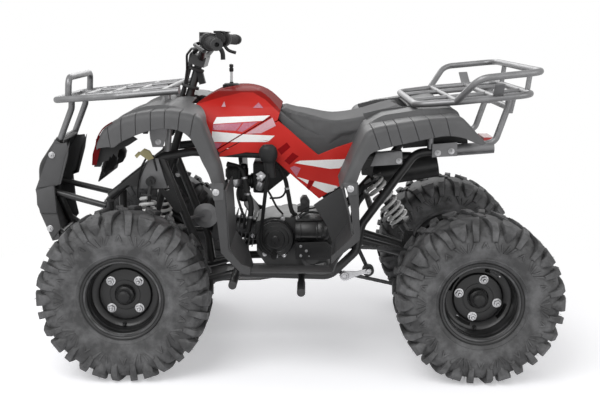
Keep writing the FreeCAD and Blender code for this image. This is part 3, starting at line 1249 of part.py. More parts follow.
caliper = caliper.cut(centred_rod(axle_centre + V(0, brake_disc_y, 0), LEFT,
                                  plate_thickness + 2 * caliper_side_gap,
                                  brake_disc_radius + running_gap + caliper_side_gap))
caliper_arm = bar([at(*caliper_arm_share), bridge_point - V(0, swing_arm_y, 0)], swing_tube_radius * 0.6)
swingarm = fused([swingarm, caliper, caliper_arm])
swingarm = swingarm.cut(centred_rod(axle_centre, LEFT, 2 * half_width, axle_radius + running_gap))
swingarm = swingarm.cut(centred_rod(swing_pivot, LEFT, 2 * half_width, light_tube_radius + seat_gap))

chain_height = 10.0
chain_width = 12.0


def chain_loop(extra):
    """The filled outline of the chain round both sprockets, grown by the given amount."""
    small = output_sprocket_radius + seat_gap + extra
    large = sprocket_radius + seat_gap + extra
    small_centre = output_centre + V(0, sprocket_y - chain_width / 2, 0)
    large_centre = axle_centre + V(0, sprocket_y - chain_width / 2, 0)
    line = small_centre - large_centre
    distance = line.Length
    line.normalize()
    lean = (large - small) / distance
    upright_part = math.sqrt(1 - lean * lean)
    corners = []
    for way in (1, -1):
        normal = line * lean + V(-line.z, 0, line.x) * (way * upright_part)
        pair = [large_centre + normal * large, small_centre + normal * small]
        corners += pair if way > 0 else pair[::-1]
    body = face_of(corners).extrude(V(0, chain_width, 0))
    ends = [rod(large_centre, LEFT, chain_width, large), rod(small_centre, LEFT, chain_width, small)]
    return body.fuse(ends).removeSplitter()


chain = chain_loop(chain_height).cut(chain_loop(0))
chain = chain.cut(frame)
swingarm = swingarm.cut(crankcase)
save("swingarm", [swingarm])
save("chain", [chain])

# Selector lever, horn and tail lamp

selector_radius = 5.5
selector_bend = 60.0
shift_shaft_share = (0.0857, 0.2000, 0.3700)
shift_shaft_length = 68.0
shift_shaft_radius = 9.0
knob_share = (0.1000, 0.4444, 0.7075)
knob_axis = V(0.08, 0, 1)
# Profiles hold (radius, distance along the axis) pairs
knob_profile = [(0, -10.0), (9.0, -10.0), (13.0, 40.0), (17.0, 62.0), (10.0, 72.0), (0, 74.0)]
horn_profile = [(0, -14.0), (20.0, -14.0), (36.0, -4.0), (38.0, 6.0), (20.0, 9.0), (0, 9.0)]
horn_arm_radius = 5.0
horn_share = (0.3010, 0.1378, 0.5038)
horn_arm_share = (0.3531, 0.2489, 0.5038)
tail_lamp_shares = [(-0.5898, -0.1156, 0.7450), (-0.5592, 0.1156, 0.8025)]
lever_line = places([(0.0857, 0.3333, 0.3700), (0.1265, 0.3333, 0.4125), (0.1245, 0.3378, 0.4650),
                     (0.1122, 0.4000, 0.5875), (0.1000, 0.4444, 0.7075)])
selector = fused([
    bar(lever_line, selector_radius, selector_bend),
    rod(at(*shift_shaft_share), LEFT, shift_shaft_length, shift_shaft_radius),
    turned(knob_profile, at(*knob_share), knob_axis),
]).cut(crankcase)
save("selector_lever", [selector])
horn_centre = at(*horn_share)
horn = fused([
    turned(horn_profile, horn_centre, LEFT),
    bar([horn_centre, at(*horn_arm_share)], horn_arm_radius),
]).cut(frame)
save("horn", [horn])
tail_lamp = box_between(*places(tail_lamp_shares)).cut(frame).cut(rear_rack)
save("tail_lamp", [tail_lamp])
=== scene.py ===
# %% [markdown]
# A utility quad bike stands on a pale floor. Its construction comes from the CAD model as a fixed frame
# of bodies and nodes, in metres, with +X forward, +Y to the rider's left and +Z up. This lesson dresses
# it: each carried node gets a finish, and the pieces that CAD keeps plain get a detailed mesh in the same
# place.

# %% Load the frame
import json
import math
import random

import bmesh
import bpy
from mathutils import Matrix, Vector
from mathutils.bvhtree import BVHTree


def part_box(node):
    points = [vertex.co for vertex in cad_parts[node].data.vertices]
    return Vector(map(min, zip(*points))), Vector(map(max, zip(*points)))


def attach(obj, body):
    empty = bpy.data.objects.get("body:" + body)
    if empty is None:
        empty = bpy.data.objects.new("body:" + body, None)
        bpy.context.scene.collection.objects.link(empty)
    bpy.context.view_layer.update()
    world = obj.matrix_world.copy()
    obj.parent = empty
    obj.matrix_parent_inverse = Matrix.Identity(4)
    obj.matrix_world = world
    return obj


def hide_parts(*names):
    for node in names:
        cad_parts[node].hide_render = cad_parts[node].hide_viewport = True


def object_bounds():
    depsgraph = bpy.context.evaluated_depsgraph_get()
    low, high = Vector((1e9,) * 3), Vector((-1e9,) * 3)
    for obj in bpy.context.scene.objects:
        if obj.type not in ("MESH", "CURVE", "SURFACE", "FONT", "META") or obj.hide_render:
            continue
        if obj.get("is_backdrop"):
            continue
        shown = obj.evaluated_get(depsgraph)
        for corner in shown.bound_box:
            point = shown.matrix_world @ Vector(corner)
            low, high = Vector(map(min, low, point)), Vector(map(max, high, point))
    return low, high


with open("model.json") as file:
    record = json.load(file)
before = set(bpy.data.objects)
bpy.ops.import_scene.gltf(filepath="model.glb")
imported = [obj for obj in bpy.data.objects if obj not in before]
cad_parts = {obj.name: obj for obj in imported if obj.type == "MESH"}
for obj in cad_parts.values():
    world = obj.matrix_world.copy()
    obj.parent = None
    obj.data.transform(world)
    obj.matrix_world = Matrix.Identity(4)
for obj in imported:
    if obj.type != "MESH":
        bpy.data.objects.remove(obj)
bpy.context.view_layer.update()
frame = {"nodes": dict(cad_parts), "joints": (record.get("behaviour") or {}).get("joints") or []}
nodes = frame["nodes"]

# %% [markdown]
# A finish is a small network of shader nodes. Writing it as sums and products is easier to read than a
# list of links, so one class wraps a socket and turns each operator into the matching Math node. The
# reflected forms let a plain number stand on the left, as in 0.3 + 0.2 * mask.

# %% Arithmetic on sockets
class Wire:
    """The output of a shader node, used like a number."""

    def __init__(self, finish, socket):
        self.finish = finish
        self.socket = socket

    def math(self, operation, other=0.0):
        return self.finish.node("ShaderNodeMath", {0: self, 1: other}, operation=operation)

    def __add__(self, other):
        return self.math("ADD", other)

    __radd__ = __add__

    def __mul__(self, other):
        return self.math("MULTIPLY", other)

    __rmul__ = __mul__

    def __sub__(self, other):
        return self.math("SUBTRACT", other)


# %% [markdown]
# Every other node comes from one method. It takes the node's type, what goes into its sockets, and its
# settings. The settings are made first, because some of them change which sockets a node has. The same
# class closes the finish with a Principled shader, where constants sit directly on the sockets.

# %% A finish and its nodes
class Finish:
    """One material, built up node by node."""

    def __init__(self, name):
        self.material = bpy.data.materials.new(name)
        self.material.use_nodes = True
        self.tree = self.material.node_tree
        self.tree.nodes.clear()
        place = self.tree.nodes.new("ShaderNodeTexCoord")
        self.place = Wire(self, place.outputs["Object"])

    def node(self, kind, inputs=None, output=0, **settings):
        made = self.tree.nodes.new(kind)
        for key, value in settings.items():
            if key == "stops":
                ramp = made.color_ramp
                while len(ramp.elements) < len(value):
                    ramp.elements.new(0.5)
                for element, (position, colour) in zip(ramp.elements, value):
                    element.position = position
                    element.color = colour
            else:
                setattr(made, key, value)
        for key, value in (inputs or {}).items():
            if isinstance(value, Wire):
                self.tree.links.new(value.socket, made.inputs[key])
            else:
                made.inputs[key].default_value = value
        return Wire(self, made.outputs[output])

    def noise(self, size, detail=3.0, roughness=0.5):
        """Cloudy values near 0.5. The size is that of one cloud, in metres."""
        return self.node("ShaderNodeTexNoise", {
            "Vector": self.place, "Scale": 1 / size, "Detail": detail, "Roughness": roughness})

    def grain(self, size):
        """The distance to the nearest of many scattered points: pebbles of about that size."""
        return self.node("ShaderNodeTexVoronoi", {"Vector": self.place, "Scale": 1 / size})

    def axis(self, index):
        return self.node("ShaderNodeSeparateXYZ", {0: self.place}, index)

    def ramp(self, value, low, high):
        """0 below low, 1 above high, and a straight line between."""
        return self.node("ShaderNodeMapRange", {0: value, 1: low, 2: high}, clamp=True)

    def mix(self, factor, first, second):
        """A blend of two colours. The colour sockets of a Mix node are inputs 6 and 7 and output 2."""
        return self.node("ShaderNodeMix", {0: factor, 6: first, 7: second}, 2, data_type="RGBA")

    def bump(self, height, distance, strength=1.0):
        return self.node("ShaderNodeBump", {"Height": height, "Distance": distance, "Strength": strength})

    def close(self, colour, roughness, **sockets):
        """Ends the finish in a Principled shader and returns the material."""
        names = {key.replace("_", " ").title().replace("Ior", "IOR"): value for key,
                 value in sockets.items()}
        inputs = {"Base Color": colour, "Roughness": roughness, **names}
        shader = self.node("ShaderNodeBsdfPrincipled", inputs)
        self.node_output(shader)
        return self.material

    def node_output(self, shader):
        output = self.tree.nodes.new("ShaderNodeOutputMaterial")
        self.tree.links.new(shader.socket, output.inputs["Surface"])


def grey(level):
    return (level, level, level * 1.02, 1.0)


def colour(red, green, blue):
    return (red, green, blue, 1.0)


# %% [markdown]
# The fenders, footwells and covers are moulded in dark grey polypropylene. The mould has a fine spark-
# eroded grain, which scatters light, and handling leaves slightly shinier patches. A fine noise drives
# the bump, and a broad one shifts colour and roughness.

# %% Moulded plastics
def textured_plastic(name, level, roughness):
    f = Finish(name)
    broad = f.noise(0.12, 4.0, 0.6)
    fine = f.noise(0.0012, 2.0, 0.6)
    tone = f.mix(f.ramp(broad, 0.35, 0.7), grey(level * 0.90), grey(level * 1.12))
    rough = roughness - 0.08 + 0.16 * f.ramp(broad, 0.3, 0.75)
    return f.close(tone, rough, normal=f.bump(fine, 0.0002, 0.5), specular_ior_level=0.22)


def gloss_plastic(name, deep, bright, shade_band=()):
    """Coloured gloss plastic with a trace of orange peel, and, if a line is given, painted shade: a darker
    band above it.

    A shade band is the line's start and end along the machine, its lowest and highest level (metres), and
    its stops.
    """
    f = Finish(name)
    broad = f.noise(0.2, 3.0)
    peel = f.noise(0.004, 2.0)
    tone = f.mix(f.ramp(broad, 0.35, 0.65), deep, bright)
    if shade_band:
        (start, end), (low, high), stops = shade_band
        along = f.ramp(f.axis(0), start, end)
        line = f.node("ShaderNodeValToRGB", {0: along}, stops=[(p, colour(v, v, v)) for p, v in stops])
        above = f.axis(2) - (line * (high - low) + low)
        # Painted shade: above the line the tone is darkened to 55 percent, a dark band on the tank's top.
        tone = f.mix(f.ramp(above, -0.0012, 0.0012), tone, colour(*(v * 0.55 for v in deep[:3])))
    rough = 0.34 + 0.10 * f.ramp(f.noise(0.05, 5.0), 0.4, 0.8)
    return f.close(tone, rough, normal=f.bump(peel, 0.00008, 0.4), specular_ior_level=0.0, coat_weight=0.17,
                   coat_roughness=0.22)


# The styling line of the tank cover, above which its top is painted darker as shade: how high it runs,
# as shares of the span from 600 to 800 mm
shade_band_stops = [(0.0, 0.60), (0.057, 0.665), (0.175, 0.81), (0.307, 0.905), (0.425, 0.905), (0.636, 0.84),
               (0.864, 0.755), (1.0, 0.70)]
dark_plastic = textured_plastic("dark_plastic", 0.092, 0.50)
footwell_plastic = textured_plastic("footwell_plastic", 0.062, 0.50)
black_plastic = textured_plastic("black_plastic", 0.020, 0.46)
deep_red, bright_red = colour(0.45, 0.018, 0.014), colour(0.54, 0.034, 0.028)
red_plastic = gloss_plastic("red_plastic", deep_red, bright_red)
# The tank cover gets painted shade: its top is darkened above the styling line.
tank_plastic = gloss_plastic("tank_plastic", deep_red, bright_red,
                             ((0.02, 0.30), (0.60, 0.80), shade_band_stops))

# %% [markdown]
# The frame is powder coated black and the racks are coated in a dark metallic grey. Powder flows into a
# very slight orange peel, and dust dulls it a little in patches.

# %% Coated metal
def powder_coat(name, level, metal, roughness):
    f = Finish(name)
    peel = f.noise(0.003, 2.0)
    dust = f.noise(0.06, 5.0, 0.65)
    tone = f.mix(f.ramp(dust, 0.45, 0.8), grey(level), grey(level * 1.35 + 0.01))
    rough = roughness + 0.14 * f.ramp(dust, 0.4, 0.8)
    return f.close(tone, rough, metallic=metal, normal=f.bump(peel, 0.0001, 0.5))


frame_paint = powder_coat("frame_paint", 0.022, 0.0, 0.36)
rack_paint = powder_coat("rack_paint", 0.20, 0.65, 0.38)
rim_paint = powder_coat("rim_paint", 0.010, 0.0, 0.34)

# %% [markdown]
# Bare metal parts differ mostly in how rough they are. Zinc-plated bolts and turned steel are bright, and
# the engine castings are matt with the pitting of a sand mould.

# %% Bare and cast metal
def bare_metal(name, level, roughness, pit_size, pit_depth):
    f = Finish(name)
    stain = f.noise(0.03, 5.0, 0.6)
    pits = f.noise(pit_size, 3.0, 0.7)
    tone = f.mix(f.ramp(stain, 0.4, 0.75), grey(level), grey(level * 0.72))
    rough = roughness + 0.18 * f.ramp(stain, 0.4, 0.8)
    return f.close(tone, rough, metallic=0.9, normal=f.bump(pits, pit_depth, 0.6))


bright_steel = bare_metal("bright_steel", 0.62, 0.28, 0.002, 0.00005)
cast_metal = bare_metal("cast_metal", 0.065, 0.42, 0.0016, 0.0002)
chain_steel = bare_metal("chain_steel", 0.085, 0.42, 0.003, 0.0001)

# %% [markdown]
# Tyre rubber is greyer where dust has settled on the faces, and its grooves are painted nearly black as
# shade. Its sheen is low and uneven. Grips and hoses are the same kind of rubber without the dust or the
# painted shade.

# %% Rubber
def rubber(name, level, dusty, crevice_shade=0.0):
    f = Finish(name)
    cloud = f.noise(0.05, 6.0, 0.62)
    fine = f.noise(0.0018, 3.0, 0.6)
    tone = f.mix(f.ramp(cloud, 0.40, 0.66), grey(level), grey(level + dusty))
    if crevice_shade:
        # Painted shade: an Ambient Occlusion node darkens the tone towards black in crevices and at knob
        # feet.
        unshaded_share = f.node("ShaderNodeAmbientOcclusion", {"Distance": crevice_shade}, 1, samples=8)
        tone = f.mix(f.ramp(unshaded_share, 0.40, 0.92), grey(level * 0.2), tone)
    rough = 0.58 + 0.22 * f.ramp(cloud, 0.35, 0.75)
    return f.close(tone, rough, normal=f.bump(fine, 0.0003, 0.55))


# The tyres get painted shade in their grooves, reaching 12 mm.
tyre_rubber = rubber("tyre_rubber", 0.040, 0.085, 0.012)
grip_rubber = rubber("grip_rubber", 0.018, 0.008)

# %% [markdown]
# The seat cover is pebble-grained vinyl. The pebbles are a cell texture about 2 mm across, pressed in a
# little between cells, over slow changes of tone where the foam stretches it.

# %% Seat vinyl
def vinyl(name, level):
    f = Finish(name)
    cells = f.grain(0.0022)
    broad = f.noise(0.09, 4.0)
    tone = f.mix(f.ramp(broad, 0.35, 0.7), grey(level), grey(level * 1.25))
    rough = 0.60 + 0.12 * f.ramp(broad, 0.3, 0.7)
    return f.close(tone, rough, normal=f.bump(cells, 0.0002, 0.4), specular_ior_level=0.12)


seat_vinyl = vinyl("seat_vinyl", 0.092)

# %% [markdown]
# The springs are glossy pale enamel. The lamp lenses are pale and red mouldings with fine upright flutes.
# They are opaque here, because nothing behind them has to be seen.

# %% Enamel and lenses
def enamel(name, tone_colour):
    f = Finish(name)
    cloud = f.noise(0.02, 3.0)
    tone = f.mix(f.ramp(cloud, 0.4, 0.8), tone_colour, tuple(v * 0.86 for v in tone_colour[:3]) + (1.0,))
    rough = 0.24 + 0.12 * f.ramp(cloud, 0.4, 0.8)
    return f.close(tone, rough, coat_weight=0.3)


def lens(name, tone_colour):
    f = Finish(name)
    flutes = f.axis(1).math("MULTIPLY", 900.0).math("SINE")
    rough = 0.10 + 0.05 * f.noise(0.01)
    return f.close(tone_colour, rough, normal=f.bump(flutes, 0.0004, 0.4), coat_weight=0.5)


spring_enamel = enamel("spring_enamel", colour(0.74, 0.74, 0.73))
clear_lens = lens("clear_lens", colour(0.55, 0.57, 0.58))
red_lens = lens("red_lens", colour(0.42, 0.012, 0.010))

# %% Which node wears which finish
finishes = { dark_plastic: ["front_fenders", "rear_fenders", "footwells", "bumper_cover"],
            black_plastic: ["nose_panel", "fuel_cap", "carburettor", "selector_lever", "hand_controls"],
            red_plastic: ["side_panels"], tank_plastic: ["tank_cover"],
            frame_paint: ["crankcase", "frame", "skid_plate", "bumper", "foot_pegs", "exhaust",
                          "swingarm", "shock_absorbers", "front_arms", "handlebar", "steering_stem",
                          "knuckle_left", "knuckle_right"],
            rack_paint: ["horn", "front_rack", "rear_rack"],
            rim_paint: ["front_rim_left", "front_rim_right", "rear_rims", "front_hub_left",
                        "front_hub_right", "rear_axle"], bright_steel: ["tie_rod_left", "tie_rod_right"],
            cast_metal: ["cylinder"], chain_steel: ["chain"],
            tyre_rubber: ["front_tyre_left", "front_tyre_right", "rear_tyres"], grip_rubber: ["grips"],
            seat_vinyl: ["seat"], spring_enamel: ["springs"], clear_lens: ["headlamps"],
            red_lens: ["tail_lamp"], }
for material, names in finishes.items():
    for name in names:
        mesh = nodes[name].data
        mesh.materials.clear()
        mesh.materials.append(material)
print("finished nodes:", sum(len(names) for names in finishes.values()), "of", len(nodes))

# %% [markdown]
# Most added pieces are built in one of three ways: a profile turned about an axis, a round section
# carried along a path, or a few corners given a thickness. One helper for each keeps every piece closed,
# so that its mesh is a solid in its own right. Pieces are named and ride on a body of the frame, and a
# piece that stands for a node hides it.

# %% Mesh helpers
MM = 0.001
LEFT = Vector((0, 1, 0))
UP = Vector((0, 0, 1))
AHEAD = Vector((1, 0, 0))
SIDES = (1, -1)


def at(x, y, z):
    """A place given in mm."""
    return Vector((x, y, z)) * MM


def places(points):
    return [at(*point) for point in points]


def reach_of(node):
    """How far a node reaches from the machine's middle, in mm."""
    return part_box(node)[1].y / MM


def centre_of(node):
    low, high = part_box(node)
    return (low + high) / 2


def finish_piece(name, bm, material, replaced=(), sharp=32.0, body="chassis"):
    """Turns a bmesh into a piece with smooth faces and sharp edges, on its body."""
    bmesh.ops.recalc_face_normals(bm, faces=bm.faces)
    mesh = bpy.data.meshes.new(name)
    bm.to_mesh(mesh)
    bm.free()
    mesh.materials.append(material)
    mesh.shade_smooth()
    mesh.set_sharp_from_angle(angle=math.radians(sharp))
    made = bpy.data.objects.new(name, mesh)
    bpy.context.scene.collection.objects.link(made)
    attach(made, body)
    if replaced:
        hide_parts(*replaced)
    return made


def frame_about(axis):
    """Two directions square to an axis and to each other."""
    axis = axis.normalized()
    first = axis.cross(UP if abs(axis.z) < 0.9 else AHEAD).normalized()
    return first, axis.cross(first)


def bridge(bm, rings):
    """Quads between neighbouring rings of vertices."""
    for near, far in zip(rings, rings[1:]):
        for index in range(len(near)):
            bm.faces.new((near[index - 1], near[index], far[index], far[index - 1]))


def close_ends(bm, rings):
    """Rings bridged into a bar, with a face over each end."""
    bridge(bm, rings)
    bm.faces.new(rings[0][::-1])
    bm.faces.new(rings[-1])


def frame_turn(across, third, angle):
    """The direction at an angle between two square directions."""
    return across * math.cos(angle) + third * math.sin(angle)


def lathe(bm, profile, origin, axis, segments=64):
    """Turns a profile of (radius, distance along the axis), in mm, about the axis; radius 0 closes it."""
    axis = axis.normalized()
    across, third = frame_about(axis)
    rings = []
    for radius, along in profile:
        radius, along = radius * MM, along * MM
        centre = origin + axis * along
        if radius < 1e-6:
            rings.append([bm.verts.new(centre)] * segments)
            continue
        ring = []
        for step in range(segments):
            angle = 2 * math.pi * step / segments
            ring.append(bm.verts.new(centre + frame_turn(across, third, angle) * radius))
        rings.append(ring)
    for near, far in zip(rings, rings[1:] + rings[:1]):
        for index in range(segments):
            corners = []
            for vert in (near[index - 1], near[index], far[index], far[index - 1]):
                if vert not in corners:
                    corners.append(vert)
            if len(corners) > 2:
                bm.faces.new(corners)


def curve_point(before, start, end, after, t):
    """A point of the smooth curve from start to end, for numbers or vectors."""
    return 0.5 * (2 * start + (end - before) * t + (2 * before - 5 * start + 4 * end - after) * t ** 2
                  + (3 * start - before - 3 * end + after) * t ** 3)


def smooth_path(points, parts=8):
    """Points on a smooth curve that passes through the given ones."""
    if len(points) < 3:
        return list(points)
    ends = [points[0] * 2 - points[1]] + list(points) + [points[-1] * 2 - points[-2]]
    path = []
    for four in zip(ends, ends[1:], ends[2:], ends[3:]):
        for step in range(parts):
            path.append(curve_point(*four, step / parts))
    path.append(points[-1])
    return path


def sweep(bm, path, radius, sides=10, radii=None):
    """A round section carried along a path without twisting, closed at both ends."""
    run = (path[1] - path[0]).normalized()
    across, _ = frame_about(run)
    rings = []
    for index, point in enumerate(path):
        ahead = path[min(index + 1, len(path) - 1)] - path[max(index - 1, 0)]
        ahead.normalize()
        across = (across - ahead * across.dot(ahead)).normalized()
        third = ahead.cross(across)
        size = radii[index] if radii else radius
        rings.append([bm.verts.new(point + frame_turn(across, third, 2 * math.pi * side / sides) * size)
                      for side in range(sides)])
    close_ends(bm, rings)


def slab(bm, corners, thickness):
    """A flat outline given a thickness along the vector."""
    low = [bm.verts.new(corner) for corner in corners]
    high = [bm.verts.new(corner + thickness) for corner in corners]
    bm.faces.new(low[::-1])
    bm.faces.new(high)
    for index in range(len(low)):
        bm.faces.new((low[index - 1], low[index], high[index], high[index - 1]))


# %% [markdown]
# The tyres carry the look of this machine. Their tread repeats ten times round the wheel: two narrow
# knobs lean together over a small arrow on the sidewall, and between them stands a wide pointed knob
# above three fine ribs that run together. Each knob is laid out in two coordinates, the angle round the
# wheel and the share of the way from the middle of the tread to the rim. A table gives the casing and the
# tips of the knobs for each share, so a knob follows the shoulder's bend by itself.

# %% The section of a tyre
# share of the way to the rim, casing depth below the tips (mm), casing half width share, knob depth, knob
# share
tyre_section = [
    (0.00, 9.5, 0.00, 0.0, 0.00), (0.16, 10.5, 0.30, 0.3, 0.30), (0.29, 14.0, 0.56, 1.5, 0.56),
    (0.40, 21.5, 0.765, 5.0, 0.80), (0.50, 37.0, 0.895, 21.0, 0.965), (0.60, 58.0, 0.940, 50.0, 0.985),
    (0.68, 74.0, 0.945, 71.5, 0.968), (0.76, 87.0, 0.93, 84.5, 0.953), (0.87, 103.0, 0.885, 101.0, 0.91),
    (0.94, 113.0, 0.85, 111.0, 0.87), (1.00, 121.0, 0.80, 120.0, 0.82),
]
bead_radius = 101.5
bead_ring = bead_radius + 14.0
section_depth = 125.4  # the depth from tip to bead that the table was measured on
units_round = 10
BOTH_WHEELS = 0.5  # a node wider than this, in metres, holds the left and the right wheel


def section_point(share, tip, half, raised):
    """Radius and place along the axle at a share of the section, on the casing or on the knobs."""
    side = -1 if share < 0 else 1
    share = abs(share)
    for near, far in zip(tyre_section, tyre_section[1:]):
        if share <= far[0] + 1e-9:
            break
    t = (share - near[0]) / (far[0] - near[0])
    row = [a + (b - a) * t for a, b in zip(near, far)]
    depth, width = (row[3], row[4]) if raised else (row[1], row[2])
    return tip - depth * (tip - bead_ring) / section_depth, side * width * half


def on_tyre(centre, angle, radius, along):
    turn = math.radians(angle)
    return (centre + Vector((math.sin(turn) * radius, along, math.cos(turn) * radius))) * MM


# %% [markdown]
# A knob is a row of stations from its outer end to its inner end, each with a left and a right angle. At
# every station its section has a sunk foot, a chamfered shoulder and a top, so the edges catch the light.

# %% Knobs and ribs
def knob(bm, centre, tip, half, turn, stations, side, height=1.0, chamfer=1.3):
    """A knob through stations (share, left angle, right angle), on one side of the tread."""
    shares = [row[0] for row in tyre_section]
    rows = []
    for first, last in zip(stations, stations[1:]):
        low, high = sorted((first[0], last[0]))
        inner = [s for s in shares + [low + (high - low) / 2] if low + 0.012 < s < high - 0.012]
        cuts = sorted([first[0]] + inner, reverse=first[0] > last[0])
        for cut in cuts:
            t = (cut - first[0]) / (last[0] - first[0])
            rows.append([a + (b - a) * t for a, b in zip(first, last)])
    rows.append(list(stations[-1]))
    rings = []
    for index, (share, left, right) in enumerate(rows):
        end = index in (0, len(rows) - 1)
        casing_r, casing_y = section_point(share, tip, half, False)
        top_r, top_y = section_point(share, tip, half, True)
        top_r, top_y = casing_r + (top_r - casing_r) * height, casing_y + (top_y - casing_y) * height
        out = Vector((top_r - casing_r, top_y - casing_y))
        reach = max(out.length, 1e-6)
        step = out / reach
        inset = math.degrees(chamfer / tip)
        foot = math.degrees(1.0 / tip)
        drop = chamfer if end else 0.0
        levels = [(left - foot, -2.0), (left, reach - chamfer - drop), (left + inset, reach - drop),
                  (right - inset, reach - drop), (right, reach - chamfer - drop), (right + foot, -2.0)]
        ring = []
        for angle, level in levels:
            radius = casing_r + step.x * level
            along = casing_y + step.y * level
            ring.append(bm.verts.new(on_tyre(centre, turn + angle, radius, side * along)))
        rings.append(ring)
    close_ends(bm, rings)


narrow_knob = [(0.605, -9.9, -5.7), (0.50, -9.6, -4.9), (0.40, -8.8, -3.8), (0.15, -5.8, -1.2)]
wide_knob = [(0.575, 17.2, 18.8), (0.50, 14.2, 21.8), (0.34, 12.6, 23.4), (0.24, 13.6, 22.4),
             (0.13, 15.6, 20.4)]
centre_knob = [(0.085, -4.2, 0.6), (-0.085, -0.6, 4.2)]
bridge_knob = [(0.085, 14.8, 17.8), (-0.085, 18.2, 21.2)]
arrow_bars = [[(0.700, -3.4, -2.3), (0.625, -0.55, 0.55)], [(0.700, 2.3, 3.4), (0.625, -0.55, 0.55)]]
rib_bars = [
    [(0.622, 8.2, 10.0), (0.745, 13.6, 14.6)], [(0.622, 26.0, 27.8), (0.745, 21.4, 22.4)],
    [(0.622, 14.0, 15.2), (0.745, 16.9, 17.7)], [(0.622, 20.8, 22.0), (0.745, 18.3, 19.1)],
]

# %% [markdown]
# New tyres still wear the thin hairs of rubber that vent the mould. They stand on the shoulders in short
# rows and lean at random, so each gets its own angle from a seeded draw.

# %% Casing, tread and hairs
# share of the way to the rim, angle within the unit, number of hairs
hair_rows = [(0.47, 3.0, 2), (0.47, -3.0, 2), (0.44, 11.0, 2), (0.44, 25.0, 2), (0.55, 0.0, 1),
             (0.36, 18.0, 2), (0.30, -8.0, 1), (0.30, 8.0, 1)]


def hair(bm, root, tip_point, radius):
    sweep(bm, [root, root.lerp(tip_point, 0.5), tip_point], radius, 4, [radius, radius * 0.8, radius * 0.3])


def tyre(name, node, body, draws):
    bm = bmesh.new()
    low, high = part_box(node)
    tip = (high.z - low.z) / 2 / MM
    joined = high.y - low.y > BOTH_WHEELS
    half = (rear_tyre_width if joined else (high.y - low.y) / MM) / 2
    for place in SIDES if joined else (0,):
        middle = (low + high) / 2 / MM
        if place:
            middle.y = place * (high.y / MM - half)
        outer = [section_point(row[0], tip, half, False) for row in tyre_section]
        dense = [(outer[0][0], 0.0)]
        for index in range(len(outer) - 1):
            a, b = outer[index], outer[index + 1]
            before = outer[index - 1] if index else (b[0], -b[1])
            after = outer[index + 2] if index + 2 < len(outer) else b
            for t in (0.34, 0.67, 1.0):
                dense.append(tuple(curve_point(*four, t) for four in zip(before, a, b, after)))
        rim_half = 0.79 * half - 0.3
        bead = [(bead_ring + 13.0, 0.855 * half), (bead_ring + 10.5, 0.86 * half),
                (bead_ring + 8.0, 0.835 * half)]
        dense = [point for point in dense if point[0] > bead_ring + 14.5]
        wall = dense + bead + [(bead_ring + 0.4, 0.80 * half), (bead_ring + 0.4, rim_half),
                               (bead_radius + 0.3, rim_half)]
        depth = tip - bead_ring
        lining = [(bead_radius + 0.3, rim_half - 11.7), (bead_ring + 0.40 * depth, 0.85 * half),
                  (bead_ring + 0.72 * depth, 0.70 * half), (bead_ring + 0.80 * depth, 0.0)]
        half_loop = wall + lining
        loop = half_loop + [(r, -y) for r, y in half_loop[::-1] if abs(y) > 1e-6]
        lathe(bm, loop, middle * MM, LEFT, 120)
        for unit in range(units_round):
            turn = 360.0 / units_round * unit
            for side in SIDES:
                mirrored_narrow = [(s, -b, -a) for s, a, b in narrow_knob]
                for stations in (narrow_knob, mirrored_narrow, wide_knob):
                    knob(bm, middle, tip, half, turn, stations, side)
                for stations in arrow_bars + rib_bars:
                    knob(bm, middle, tip, half, turn, stations, side, 1.0, 0.4)
                for share, angle, count in hair_rows:
                    for _ in range(count):
                        spot = angle + draws.uniform(-1.6, 1.6)
                        raised = share in (0.36, 0.30)
                        radius, along = section_point(share + draws.uniform(-0.03, 0.03), tip, half, raised)
                        root = on_tyre(middle, turn + spot, radius - 1.0, side * along)
                        reach = draws.uniform(9.0, 14.0)
                        lean = draws.uniform(-0.4, 0.4)
                        end_r = min(radius + reach * 0.75, tip - 0.6)
                        end_y = min(along + reach * 0.7, half - 0.5)
                        end = on_tyre(middle, turn + spot + lean, end_r, side * end_y)
                        hair(bm, root, end, 0.45 * MM)
            knob(bm, middle, tip, half, turn, centre_knob, 1)
            knob(bm, middle, tip, half, turn, bridge_knob, 1)
    made = finish_piece(name, bm, tyre_rubber, [node], 28.0, body)
    print(name, "tip radius", round(tip, 1), "mm,", len(made.data.polygons), "faces")
    return made


rear_inner_edge = min(abs(vert.co.y) for vert in nodes["rear_tyres"].data.vertices)
rear_tyre_width = (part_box("rear_tyres")[1].y - rear_inner_edge) / MM
draws = random.Random(7)
tyre("front_tyre_tread_left", "front_tyre_left", "front_wheel_left", draws)
tyre("front_tyre_tread_right", "front_tyre_right", "front_wheel_right", draws)
tyre("rear_tyre_tread", "rear_tyres", "rear_axle", draws)

# %% [markdown]
# Moulded panels and bent plates have no knife edges. CAD keeps its corners sharp, so each such node gets
# a short stack of modifiers instead of a new mesh: the doubled points are merged, the faces are shaded
# smooth with sharp edges only at real corners, and a small bevel rounds every corner so that it catches a
# line of light. The mesh itself stays as CAD made it.

